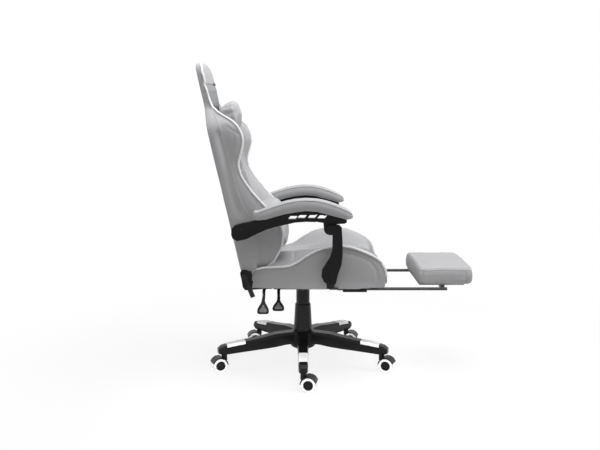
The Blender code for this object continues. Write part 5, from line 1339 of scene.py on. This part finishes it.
def centre_seam(hand):
    return [
        back_place(hand * BACK_SEAM_SIDE, share * BACK_LENGTH, BACK_CENTRE_DEPTH * depth)
        for share, depth in BACK_CENTRE_SHARES
    ]


def back_channel(share):
    up, out = share * BACK_LENGTH, centre_out(share) - CHANNEL_DEPTH
    return [back_place(x * BACK_SEAM_SIDE, up, out + BACK_CROWN * crowned(x)) for x in across_shares(10)]


back_channels = [back_channel(share) for share in BACK_CHANNELS]
centre_pad = stuffed(
    "back_centre_panel",
    "back_cushion",
    [centre_seam(1), centre_seam(-1)] + back_channels,
    held=lambda co: (in_back(co)[2] < BACK_PAD_OUT + 0.004) | (abs(in_back(co)[0]) > BACK_SEAM_SIDE - 0.004),
    material=spacer_mesh,
)
sunk_along(centre_pad, back_channels, depth=0.0035, width=0.006)
rumpled(centre_pad, amount=0.0010, size=0.07, seed=13.0)
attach(centre_pad, "back")
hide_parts("back_cushion")
centre_skin = skin_of(centre_pad)
rows = []
for channel in back_channels:
    for shift in (-0.005, 0.005):
        rows += stitch_row(centre_skin, [point + Vector((0, 0, shift)) for point in channel[1:-1]])
sewn("back_channel_stitches", rows, grey_thread, "back")


# Head cushion: the headrest is one pad, its upper third in plain woven cloth and the rest in
# spacer mesh, with a seam across between them.
HEAD_EDGE_DEPTH, HEAD_CROWN, HEAD_HALF_WIDTH = 0.0180, 0.0160, 0.150
HEAD_SHARES = (
    # (share of the back's length, of the edge depth, of the half width)
    (0.775, 0.60, 0.960),
    (0.785, 0.90, 0.990),
    (0.820, 1.00, 1.000),
    (0.860, 1.00, 1.000),
    (0.900, 1.00, 0.995),
    (0.940, 0.97, 0.980),
    (0.970, 0.90, 0.930),
    (0.988, 0.80, 0.800),
    (0.997, 0.70, 0.600),
)
HEAD_SEAM_SHARE = 0.888


def head_front(side, share):
    half = HEAD_HALF_WIDTH * read(HEAD_SHARES, share, 2)
    depth = read(HEAD_SHARES, share, 1)
    out = HEAD_EDGE_DEPTH * depth + HEAD_CROWN * depth * crowned(side / half)
    return back_place(side, share * BACK_LENGTH, out)


head_seam = [head_front(HEAD_HALF_WIDTH * 0.995 * x, HEAD_SEAM_SHARE) for x in across_shares(10)]
head_pad = stuffed(
    "headrest_pad",
    "head_cushion",
    [head_seam],
    held=lambda co: in_back(co)[2] < BACK_PAD_OUT + 0.003,
    voxel=0.005,
    most=0.004,
    slack=0.001,
)
sunk_along(head_pad, [head_seam], depth=0.0034, width=0.0040)
rumpled(head_pad, amount=0.0010, size=0.06, seed=17.0)
head_pad.data.materials.append(spacer_mesh)
head_middles = np.array([face.center for face in head_pad.data.polygons])
for face, up in zip(head_pad.data.polygons, in_back(head_middles)[1]):
    face.material_index = 1 if up < HEAD_SEAM_SHARE * BACK_LENGTH else 0
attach(head_pad, "back")
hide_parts("head_cushion")
head_skin = skin_of(head_pad)
rows = stitch_row(head_skin, [point + Vector((0, 0, 0.006)) for point in head_seam[1:-1]])
sewn("headrest_stitches", rows, grey_thread, "back")

# a small folded tag, bare of any mark, sewn into the seam at the middle of the headrest
TAG_WIDTH, TAG_HEIGHT, TAG_THICKNESS = 0.030, 0.012, 0.0016
tag_colours = (0.030, 0.030, 0.032), (0.045, 0.045, 0.048), (0.012, 0.012, 0.013)
tag_cloth = cloth_finish("tag_cloth", *tag_colours, 0.0008, 0.40, 0.0001, 0.05, 0.25)
tag = bmesh.new()
bmesh.ops.create_grid(tag, x_segments=12, y_segments=5, size=0.5)
for vert in tag.verts:
    across, rise = vert.co.x * TAG_WIDTH, (vert.co.y + 0.3) * TAG_HEIGHT
    bulge = 0.0030 * (1 - (2 * vert.co.y) ** 2) + 0.0012
    vert.co = head_front(0.0, HEAD_SEAM_SHARE + 0.002 + rise / BACK_LENGTH) + Vector((across, -bulge, 0))
bmesh.ops.solidify(tag, geom=tag.faces[:], thickness=TAG_THICKNESS)
tag_rim = [edge for edge in tag.edges if edge.calc_face_angle(0) > 1.0]
bmesh.ops.bevel(tag, geom=tag_rim, offset=0.0003, affect="EDGES")
headrest_tag = new_piece("headrest_tag", tag, [tag_cloth])
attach(headrest_tag, "back")


# Back wings: cut foam down each side of the back in woven cloth, deep at the hips and shoulders
# and pinched at the waist; white piping runs up the front edge and on round the headrest.
WING_DEPTH = 0.1814
WING_SHARES = (
    # (share of the back's length, of its half width, of the wing's depth)
    (0.008, 0.880, 0.380),
    (0.014, 0.930, 0.498),
    (0.031, 0.960, 0.686),
    (0.062, 0.985, 0.840),
    (0.091, 1.000, 0.931),
    (0.144, 1.000, 1.000),
    (0.183, 1.000, 0.981),
    (0.230, 1.000, 0.880),
    (0.276, 1.000, 0.767),
    (0.335, 1.000, 0.622),
    (0.372, 1.000, 0.534),
    (0.414, 1.000, 0.456),
    (0.454, 1.004, 0.405),
    (0.492, 1.012, 0.413),
    (0.518, 1.021, 0.451),
    (0.550, 1.034, 0.533),
    (0.589, 1.042, 0.616),
    (0.625, 1.042, 0.628),
    (0.665, 1.030, 0.588),
    (0.696, 0.990, 0.501),
    (0.715, 0.930, 0.400),
    (0.748, 0.800, 0.235),
    (0.781, 0.690, 0.143),
)


def wing_edge(hand, inset=0.10, drop=0.02):
    """The wing's front edge, at shares of its width in from the side and of its thickness back."""
    line = []
    for share, width, depth in WING_SHARES:
        outer, front = width * BACK_HALF_WIDTH, depth * WING_DEPTH
        span, thick = outer - BACK_SEAM_SIDE, front - BACK_PAD_OUT
        line.append(back_place(hand * (outer - span * inset), share * BACK_LENGTH, front - thick * drop))
    return line


def head_edge(hand):
    line = []
    for share, depth, width in HEAD_SHARES[2:]:
        side = hand * HEAD_HALF_WIDTH * width
        line.append(back_place(side, share * BACK_LENGTH, HEAD_EDGE_DEPTH * depth))
    return line


HOLLOW_UP, HOLLOW_OUT, HOLLOW_HALF_HEIGHT, HOLLOW_HALF_WIDTH, HOLLOW_DEPTH = 0.450, 0.036, 0.078, 0.044, 0.0085


def shoulder_hollow(co, normals):
    """The wing's side falls in behind the shoulder, where the cover is stretched over the foam."""
    up, out = in_back(co)[1:]
    above, ahead = up - HOLLOW_UP - 0.6 * (out - HOLLOW_OUT), out - HOLLOW_OUT
    reach = (above / HOLLOW_HALF_HEIGHT) ** 2 + (ahead / HOLLOW_HALF_WIDTH) ** 2
    return -HOLLOW_DEPTH * np.exp(-(reach**1.2)) * abs(normals[:, 0]) * eased((out - 0.011) / 0.018)


SIDE_FOLDS = (
    ((0.502, 0.086), (0.470, 0.074), (0.430, 0.046), (0.405, 0.022)),
    ((0.470, 0.108), (0.430, 0.086), (0.385, 0.060), (0.330, 0.024)),
    ((0.565, 0.040), (0.530, 0.072), (0.500, 0.100)),
)
SIDE_FOLD_SIDE, WING_FOOT_DROP = 0.244, 0.0110


def side_folds(hand):
    """Soft folds across the side, from the shoulder down towards the rear."""
    return [rounded([back_place(hand * SIDE_FOLD_SIDE, up, out) for up, out in fold]) for fold in SIDE_FOLDS]


def wing_foot(co):
    """The wing's lower end hangs down on the seat's edge, which closes the gap between them."""
    up, out = in_back(co)[1:]
    drop = -WING_FOOT_DROP * (1 - eased((up - 0.010) / 0.045)) * eased((out - 0.026) / 0.024)
    return np.stack((0 * drop, LEAN_SIN * drop, LEAN_COS * drop), axis=1)


def wing_fixed(co):
    """The points of the wing that lie on the frame or against the centre panel."""
    side, _, out = in_back(co)
    return (out < BACK_PAD_OUT + 0.006) | (abs(side) < BACK_SEAM_SIDE + 0.003)


wing_skins = {}
for side_name, hand in SIDES:
    front_edge = wing_edge(hand)
    wing = stuffed(
        f"back_side_wing_{side_name}",
        f"back_wing_{side_name}",
        [front_edge, centre_seam(hand)],
        held=wing_fixed,
        most=0.005,
    )
    displaced(wing, shoulder_hollow)
    sunk_along(wing, side_folds(hand), depth=0.0022, width=0.006)
    rumpled(wing, amount=0.0016, size=0.10, seed=19.0 + hand)
    reshaped(wing, wing_foot)
    front_edge = reshaped_line(front_edge, wing_foot)
    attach(wing, "back")
    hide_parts(f"back_wing_{side_name}")
    wing_skin = wing_skins[hand] = skin_of(wing)
    lower, _ = laid_on(wing_skin, spaced(rounded(front_edge), gap=0.006), PIPING_RADIUS * 0.95)
    upper, _ = laid_on(head_skin, spaced(rounded(head_edge(hand)), gap=0.006), PIPING_RADIUS * 0.75)
    piping_line = spaced(rounded((lower + upper)[::2]), gap=0.005)
    piping = [(cord_mesh(piping_line, PIPING_RADIUS, 10), 0)]
    sewn(f"back_piping_{side_name}", piping, white_piping, "back")
    rows = stitch_row(wing_skin, rounded(wing_edge(hand, inset=0.0, drop=0.10))[12:-12])
    rows += stitch_row(wing_skin, rounded(wing_edge(hand, inset=0.30, drop=0.0))[12:-12])
    sewn(f"back_piping_stitches_{side_name}", rows, grey_thread, "back")


# Side cloth: one strip of the woven cloth over thin foam, pulled over the frame's edge from the rear
# panel to the wings and on round the headrest. It hides the steel, and is top stitched at its front.
BAND_PATH = (
    # (share of the back's length, of its half width)
    (0.0152, 1.000),
    (0.040, 1.000),
    (0.100, 1.000),
    (0.200, 1.000),
    (0.320, 1.000),
    (0.440, 1.000),
    (0.560, 1.020),
    (0.650, 1.020),
    (0.700, 0.960),
    (0.750, 0.780),
    (0.790, 0.635),
    (0.850, 0.620),
    (0.930, 0.610),
    (0.970, 0.570),
    (0.990, 0.460),
    (0.998, 0.300),
)
# by the height up the back: how far it stands off the frame's edge, how far out it keeps that, how
# far out its front edge lies, and how much further it spreads over the wing towards that edge
BAND_LIFTS = ((0.0, 0.0074), (0.185, 0.0074), (0.240, 0.0026), (0.560, 0.0028), (0.800, 0.0018))
BAND_HOLDS = ((0.0, 0.050), (0.180, 0.050), (0.240, 0.0135), (0.800, 0.0100))
BAND_FRONTS = (
    (0.012, 0.058),
    (0.030, 0.072),
    (0.060, 0.084),
    (0.120, 0.090),
    (0.185, 0.086),
    (0.240, 0.062),
    (0.300, 0.054),
    (0.545, 0.045),
    (0.595, 0.028),
    (0.628, 0.0165),
    (0.800, 0.0165),
)
BAND_SPREADS = (
    (0.0, 0.0),
    (0.360, 0.0),
    (0.434, 0.0036),
    (0.490, 0.0052),
    (0.525, 0.0066),
    (0.565, 0.0057),
    (0.620, 0.0),
)
BAND_FRONT_STEPS, BAND_SAG = (0.16, 0.30, 0.46, 0.60, 0.74, 0.86, 0.95, 1.0), 0.0135
BAND_FOOT_UP, BAND_FOOT_TUCK, BAND_TUCK = 0.05, -0.012, -0.004
band_side = [Vector((BACK_HALF_WIDTH * half, share * BACK_LENGTH, 0)) for share, half in BAND_PATH]
band_other = [Vector((-point.x, point.y, 0)) for point in reversed(band_side)]
band_path = rounded(band_side + [Vector((0, band_side[-1].y + 0.0006, 0))] + band_other, 5)
band_rings, band_front_line = [], []


def laid_down(point, off, out, stand):
    """Lays a place on the strip down on the wing's side, this far proud of it, where the wing is upright."""
    hand = math.copysign(1, point.x)
    found = wing_skins[hand].ray_cast(back_place(hand * 0.32, point.y, out), Vector((-hand, 0, 0)), 0.2)[0]
    if found is None or not 0.016 < out or point.y > 0.54:
        return off
    snug = abs(found.x - COLUMN_X) - abs(point.x) + stand
    share = float(eased((out - 0.016) / 0.016) * (1 - eased((point.y - 0.50) / 0.04)))
    laid = off + share * (snug - off)
    return max(laid, off) if out < read(BAND_HOLDS, point.y) + 0.004 and stand > 0 else laid


for index, point in enumerate(band_path):
    along = (band_path[min(index + 1, len(band_path) - 1)] - band_path[max(index - 1, 0)]).normalized()
    lift, front = read(BAND_LIFTS, point.y), read(BAND_FRONTS, point.y)
    spread = read(BAND_SPREADS, point.y)
    inward = BAND_FOOT_TUCK if point.y < BAND_FOOT_UP else BAND_TUCK
    hold = read(BAND_HOLDS, point.y)
    section = [(-0.006, -0.0062), (0.0, -0.0052), (lift * 0.75, -0.0030), (lift, 0.0010)]
    for share in BAND_FRONT_STEPS:
        out = front * share
        stand = 0.0005 + lift * (1 - float(eased((out - hold) / (front - hold))))
        section.append((laid_down(point, stand + spread * share, out, stand), out))
    section.append((laid_down(point, spread + inward, front * 0.97, -0.005), front * 0.97))
    section.append((inward, front * 0.5))
    sag = BAND_SAG * max(0.0, 1 - (point.y - band_side[0].y) / 0.035)
    ring = []
    for off, out in section:
        hang = 0.0
        if off > 0:
            hang = sag * float(eased((out - 0.012) / 0.014) * (1 - eased((out - 0.054) / 0.014)))
        ring.append(back_place(point.x + along.y * off, point.y - along.x * off - hang, out))
    band_rings.append(ring)
    off = section[-4][0]
    band_front_line.append(back_place(point.x + along.y * off, point.y - along.x * off, front * 0.90))
band = bmesh.new()
skinned(band, [[band.verts.new(spot) for spot in ring] for ring in band_rings])
side_cloth = new_piece("back_side_cloth", band, [grey_cloth], 180)
refined(side_cloth)
rumpled(side_cloth, amount=0.0006, size=0.05, seed=37.0)
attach(side_cloth, "back")
band_skin = skin_of(side_cloth)
rows = stitch_row(band_skin, band_front_line[4:-4])
sewn("back_side_cloth_stitches", rows, grey_thread, "back")


# Neck pillow and lumbar cushion: loose boxed pillows, a front and a back panel of woven cloth
# joined by a seam round the rim, stuffed with fibre so that the cloth puckers beside the seam.
NECK_UP, NECK_HEIGHT, NECK_WIDTH, NECK_THICK = 0.575, 0.118, 0.270, 0.060
NECK_SLUMP_DOWN, NECK_SLUMP_BACK = 0.022, 0.011
LUMBAR_UP, LUMBAR_HEIGHT, LUMBAR_WIDTH, LUMBAR_THICK = 0.130, 0.190, 0.272, 0.090
neck_out = centre_out((NECK_UP - NECK_HEIGHT / 2) / BACK_LENGTH) + BACK_CROWN + 0.0003 - 0.0016
lumbar_out = BACK_CENTRE_DEPTH + BACK_CROWN + 0.0003


RIM_STEPS, RIM_DRAWN_IN, PUCKERS, PUCKER_HEIGHT = 96, 0.03, 46, 0.0011


def boxed_round():
    """Shares of a boxed pillow's half width and half height round its rim, drawn in between its corners."""
    for step in range(RIM_STEPS):
        angle = 2 * math.pi * step / RIM_STEPS
        x, y = math.cos(angle), math.sin(angle)
        swell = (x**4 + y**4) ** -0.25
        drawn = 1 - RIM_DRAWN_IN * (1 - abs(math.sin(2 * angle)))
        yield swell * x * drawn, swell * y * drawn


def pillow_rim(up, width, height, out):
    return [back_place(x * (width / 2), up + y * (height / 2), out) for x, y in boxed_round()]


def neck_slump(co):
    """The neck pillow's upper rear edge hangs down and its lower front edge falls back."""
    rise, out = in_back(co)[1:]
    deep = np.clip((out - neck_out) / NECK_THICK, 0, 1)
    high = np.clip((rise - NECK_UP) / (NECK_HEIGHT / 2), -1, 1)
    drop = -NECK_SLUMP_DOWN * np.maximum(high, 0) * (1 - deep) ** 1.2
    back = -NECK_SLUMP_BACK * np.maximum(-high, 0) * deep
    return np.stack((0 * drop, LEAN_SIN * drop - LEAN_COS * back, LEAN_COS * drop + LEAN_SIN * back), axis=1)


def pillow_piece(name, node, up, width, height, thick, back_out, seed, slump=None):
    """A stuffed pillow on the back, with puckers and a welt along the seam round its rim."""
    seam_out = back_out + thick * 0.58
    rim = pillow_rim(up, width, height, seam_out)
    ring = rim + rim[:1]
    pillow = stuffed(
        name,
        node,
        [ring],
        held=lambda co: in_back(co)[2] < back_out + 0.006,
        voxel=0.0045,
        swell=5.0,
        most=0.007,
        slack=0.002,
    )
    if slump:
        reshaped(pillow, slump)
        ring = reshaped_line(ring, slump)
        rim = ring[:-1]
    sunk_along(pillow, [ring], depth=0.0030, width=0.0045)

    def puckers(co, normals):
        side, rise = in_back(co)[:2]
        angle = np.arctan2(rise - up, side)
        near = distance_to(co, [ring])
        fan = np.sin(angle * PUCKERS + 3 * np.sin(angle * 5)) * np.exp(-((near - 0.010) / 0.010) ** 2)
        return PUCKER_HEIGHT * fan

    displaced(pillow, puckers)
    rumpled(pillow, amount=0.0020, size=0.045, seed=seed)
    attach(pillow, "back")
    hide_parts(node)
    rim_line, _ = laid_on(skin_of(pillow), rim, 0.0004)
    welt = cord_mesh(rim_line, radius=0.0014, closed=True)
    sewn(f"{name}_rim_seam", [(welt, 0)], grey_thread, "back")


neck_size = (NECK_UP, NECK_WIDTH, NECK_HEIGHT, NECK_THICK)
lumbar_size = (LUMBAR_UP, LUMBAR_WIDTH, LUMBAR_HEIGHT, LUMBAR_THICK)
pillow_piece("neck_pillow_stuffed", "neck_pillow", *neck_size, neck_out, 23.0, neck_slump)
pillow_piece("lumbar_cushion_stuffed", "lumbar_cushion", *lumbar_size, lumbar_out, 29.0)


# Neck strap: a flat band of grey woven elastic round the headrest, ribbed along its length, which
# holds the neck pillow up. It is stitched into a loop at the back.
STRAP_UP, STRAP_WIDTH, STRAP_THICKNESS = 0.687, 0.020, 0.0009
STRAP_RIBS, STRAP_RIB_DEPTH, STRAP_SUNK = 6, 0.0003, 0.0006
elastic, elastic_tree, elastic_shader = new_finish("woven_elastic")
elastic_node = group_node(elastic_tree, weave, Pitch=0.0016)
two_toned(elastic_tree, elastic_shader, elastic_node.outputs["Threads"], (0.28, 0.28, 0.29), (0.40, 0.40, 0.41))
elastic_shader.inputs["Roughness"].default_value = 0.8
elastic_shader.inputs["Sheen Weight"].default_value = 0.1
relief(elastic_tree, elastic_shader, elastic_node.outputs["Threads"], 0.0003)
STRAP_STEPS, strap_rings = 72, []
strap_mesh = bmesh.new()
strap_section = []
for rib in range(4 * STRAP_RIBS + 1):
    rise = (rib / (4 * STRAP_RIBS) - 0.5) * STRAP_WIDTH
    strap_section.append((rise, STRAP_THICKNESS - STRAP_RIB_DEPTH * (1 - math.cos(2 * math.pi * rib / 4)) / 2))
strap_section += [(STRAP_WIDTH / 2, -STRAP_SUNK), (-STRAP_WIDTH / 2, -STRAP_SUNK)]
for step in range(STRAP_STEPS):
    angle = 2 * math.pi * step / STRAP_STEPS
    share = math.copysign(abs(math.cos(angle)) ** 0.6, math.cos(angle))
    ring = []
    front_half = math.sin(angle) >= 0
    for rise, stand in strap_section:
        out = HEAD_EDGE_DEPTH + HEAD_CROWN * crowned(share) if front_half else -0.0080 - 0.0040 * crowned(share)
        spot = back_place(share * (HEAD_HALF_WIDTH - 0.0045), STRAP_UP + rise, out)
        found, normal = (head_skin if front_half else rear_skin).find_nearest(spot, 0.02)[:2]
        ring.append(strap_mesh.verts.new(found + normal * stand if found else spot))
    strap_rings.append(ring)
skinned(strap_mesh, strap_rings, closed=True)
strap = new_piece("neck_strap_elastic", strap_mesh, [elastic], 60)
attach(strap, "back")
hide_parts("neck_strap")


# Levers: bent steel rod, coated black, with a moulded spade paddle at the end of the first two, each
# with a lighter grey patch in its dish under the finger, a painted highlight for the light that the dish
# catches; the recline lever is a flat bar with a plastic sleeve.
dress(["recline_lever"], powder_coat)
# a lighter grey patch in each paddle's dish: painted highlight, for the light that the dish catches
paddle_dish_highlight = moulded_plastic(
    "paddle_dish_highlight", (0.070, 0.070, 0.072), (0.120, 0.120, 0.122), 0.35, 0.50, grain_scale=800.0, depth=0.00005
)
PADDLE_SHARES = (
    # (share of its length, of its half width, of its half thickness)
    (0.00, 0.27, 0.90),
    (0.14, 0.29, 0.96),
    (0.30, 0.42, 1.00),
    (0.46, 0.68, 1.00),
    (0.62, 0.90, 1.00),
    (0.78, 1.00, 1.00),
    (0.90, 0.99, 0.94),
    (0.965, 0.90, 0.78),
    (1.00, 0.70, 0.45),
)
PADDLE_LENGTH, PADDLE_WIDTH, PADDLE_THICKNESS, HIGHLIGHT_SHRINK, HIGHLIGHT_LIFT = 0.062, 0.043, 0.011, 0.34, 0.0040
LEVER_ROD, LEVER_ROOT_SIDE, LEVER_ROOT_HEIGHT = 0.0060, 0.0703, 0.330
LEVER_BEND_SIDE, LEVER_BEND_HEIGHT, LEVER_END_SIDE = 0.200, 0.3220, 0.290


def paddle_mesh(shrink=0.0, lift=0.0):
    """A spade along +X, narrow at its rod and broad at its end; or the lighter patch of painted highlight in its upper
    face.
    """
    mesh, rings = bmesh.new(), []
    for share, half, thick in PADDLE_SHARES:
        along = PADDLE_LENGTH * (shrink * 1.3 + share * (1 - 1.5 * shrink))
        ring = []
        for step in range(24):
            angle = 2 * math.pi * step / 24
            x, y = math.cos(angle), math.sin(angle)
            swell = (abs(x) ** 3 + abs(y) ** 3) ** (-1 / 3)
            across = swell * x * PADDLE_WIDTH / 2 * half * (1 - shrink)
            dish = 0.0 if lift else 0.12 * max(0.0, 1 - abs(x) * 1.6)
            height = swell * y * PADDLE_THICKNESS / 2 * thick * (1 - (dish if half > 0.6 else 0.0))
            ring.append(mesh.verts.new((along, across, height * (0.35 if lift else 1.0) + lift)))
        rings.append(ring)
    return skinned(mesh, rings)


LEVERS = (
    # (name, how far ahead its root and its paddle lie, slope of the paddle, height of its end)
    ("height_lever", -0.091, -0.091, 31, 0.2906),
    ("tilt_lever", -0.105, -0.147, 46, 0.2785),
)
for name, root_ahead, paddle_ahead, slope, end_height in LEVERS:
    tilt = math.radians(slope)
    start_side = LEVER_END_SIDE - PADDLE_LENGTH * math.cos(tilt)
    start_height = end_height + PADDLE_LENGTH * math.sin(tilt)
    shift = paddle_ahead - root_ahead
    # out of the housing, down under the footrest's rod, level to the seat's edge and down the slope
    rod = [
        place(-LEVER_ROOT_SIDE, root_ahead, LEVER_ROOT_HEIGHT),
        place(-LEVER_ROOT_SIDE - 0.014, root_ahead, LEVER_ROOT_HEIGHT + 0.002),
        place(-0.105, root_ahead + shift * 0.55, LEVER_ROOT_HEIGHT + 0.008),
        place(-0.126, paddle_ahead - shift * 0.06, LEVER_ROOT_HEIGHT + 0.009),
        place(-0.146, paddle_ahead - 0.0025, LEVER_ROOT_HEIGHT + 0.003),
        place(-0.164, paddle_ahead - 0.0020, LEVER_ROOT_HEIGHT - 0.0050),
        place(-0.178, paddle_ahead - 0.0015, LEVER_ROOT_HEIGHT - 0.0080),
        place(-LEVER_BEND_SIDE, paddle_ahead - 0.001, LEVER_BEND_HEIGHT),
        place(-start_side + 0.010, paddle_ahead, LEVER_BEND_HEIGHT),
        place(-start_side - 0.006 * math.cos(tilt), paddle_ahead, start_height - 0.006 * math.sin(tilt)),
    ]
    lever_parts = [(cord_mesh(rounded(rod, 5), LEVER_ROD, 14), 0)]
    to_place = Matrix.Translation(place(-start_side, paddle_ahead, start_height))
    turn = to_place @ Matrix.Rotation(math.pi, 4, "Z") @ Matrix.Rotation(tilt, 4, "Y")
    for mesh, number in ((paddle_mesh(), 0), (paddle_mesh(HIGHLIGHT_SHRINK, HIGHLIGHT_LIFT), 1)):
        bmesh.ops.transform(mesh, matrix=turn, verts=mesh.verts)
        lever_parts.append((mesh, number))
    lever = new_piece(f"{name}_rod_and_paddle", join_meshes(lever_parts), [arm_nylon, paddle_dish_highlight], 50)
    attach(lever, name)
    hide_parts(name)


# Footrest: two steel rods slide in plastic guides under the seat, and a padded board turns over on
# the bar between their ends.
rod_steel = painted_steel("rod_steel", (0.060, 0.060, 0.063), (0.105, 0.105, 0.108), 0.25, 0.40)
dress(["footrest_guide_left", "footrest_guide_right"], hinge_cover_plastic)
dress(["footrest_frame"], rod_steel)
dress(["footrest_plate"], grey_cloth)
FOOTREST_REAR, FOOTREST_LENGTH, FOOTREST_HALF_WIDTH = 0.422, 0.209, 0.186
FOOTREST_BOTTOM, FOOTREST_THICKNESS = 0.3630, 0.074
FOOTREST_REAR_PULL, FOOTREST_FRONT_PUSH, FOOTREST_SIDE_FALL, FOOTREST_RIM_RISE = 0.010, 0.014, 0.0090, 0.0045
FOOTREST_END_SEAM_SIDE, FOOTREST_END_SEAM_LEVELS = 0.183, (0.06, 0.25, 0.50, 0.80)


def foot_ring(level, inset):
    """A seam round the pad, at a share of its thickness up and of its half length in from the rim."""
    middle, half = FOOTREST_REAR + FOOTREST_LENGTH / 2, FOOTREST_LENGTH / 2
    wide, deep = FOOTREST_HALF_WIDTH - inset * half, half - inset * half
    height = FOOTREST_BOTTOM + level * FOOTREST_THICKNESS
    line = [place(x * wide, middle - y * deep, height) for x, y in boxed_round()]
    return line + line[:1]


def boxed(co):
    """Pushes the pad's corners out square over its board, stretches it and rounds its top at both sides."""
    half, middle = FOOTREST_LENGTH / 2, FOOTREST_REAR + FOOTREST_LENGTH / 2
    across, along = co[:, 0] - COLUMN_X, COLUMN_Y - co[:, 1] - middle
    x, y = across / FOOTREST_HALF_WIDTH, along / half
    grow = (x**4 + y**4) ** 0.25 / np.maximum((x**16 + y**16) ** 0.0625, 1e-6) - 1
    pull = FOOTREST_REAR_PULL * eased((half - along) / FOOTREST_LENGTH)
    push = FOOTREST_FRONT_PUSH * eased((half + along) / FOOTREST_LENGTH)
    level = (co[:, 2] - FOOTREST_BOTTOM) / FOOTREST_THICKNESS
    rim = FOOTREST_RIM_RISE * eased(((x**4 + y**4) ** 0.25 - 0.70) / 0.20)
    fall = FOOTREST_SIDE_FALL * eased((np.abs(x) - 0.30) / 0.70)
    lift = (rim - fall - 0.0010) * eased((level - 0.35) / 0.40)
    return np.stack((across * grow, -along * grow - pull - push, lift), axis=1)


top_seam, end_seams = foot_ring(level=0.83, inset=0.050), []
for side in (-FOOTREST_END_SEAM_SIDE, FOOTREST_END_SEAM_SIDE):
    for ahead in (FOOTREST_REAR + 0.030, FOOTREST_REAR + FOOTREST_LENGTH - 0.018):
        heights = [FOOTREST_BOTTOM + FOOTREST_THICKNESS * level for level in FOOTREST_END_SEAM_LEVELS]
        end_seams.append([place(side, ahead, height) for height in heights])
foot_pad = stuffed(
    "footrest_cushion",
    "footrest_pad",
    [top_seam],
    held=lambda co: co[:, 2] < FOOTREST_BOTTOM + 0.006,
    voxel=0.005,
    most=0.003,
)
reshaped(foot_pad, boxed)
top_seam = reshaped_line(top_seam, boxed)
sunk_along(foot_pad, [top_seam], depth=0.0026, width=0.0040)
sunk_along(foot_pad, end_seams, depth=0.0022, width=0.0035)
rumpled(foot_pad, amount=0.0012, size=0.07, seed=31.0)
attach(foot_pad, "footrest_board")
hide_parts("footrest_pad")
foot_skin = skin_of(foot_pad)
foot_welt, _ = laid_on(foot_skin, top_seam[:-1], 0.0006)
foot_welt = [(cord_mesh(foot_welt, radius=0.0019, closed=True), 0)]
sewn("footrest_welt", foot_welt, grey_cloth, "footrest_board")
rows = stitch_row(foot_skin, reshaped_line(foot_ring(level=0.90, inset=0.12), boxed))
for seam in end_seams:
    rows += stitch_row(foot_skin, [point + Vector((0, 0.004, 0)) for point in seam])
sewn("footrest_stitches", rows, grey_thread, "footrest_board")
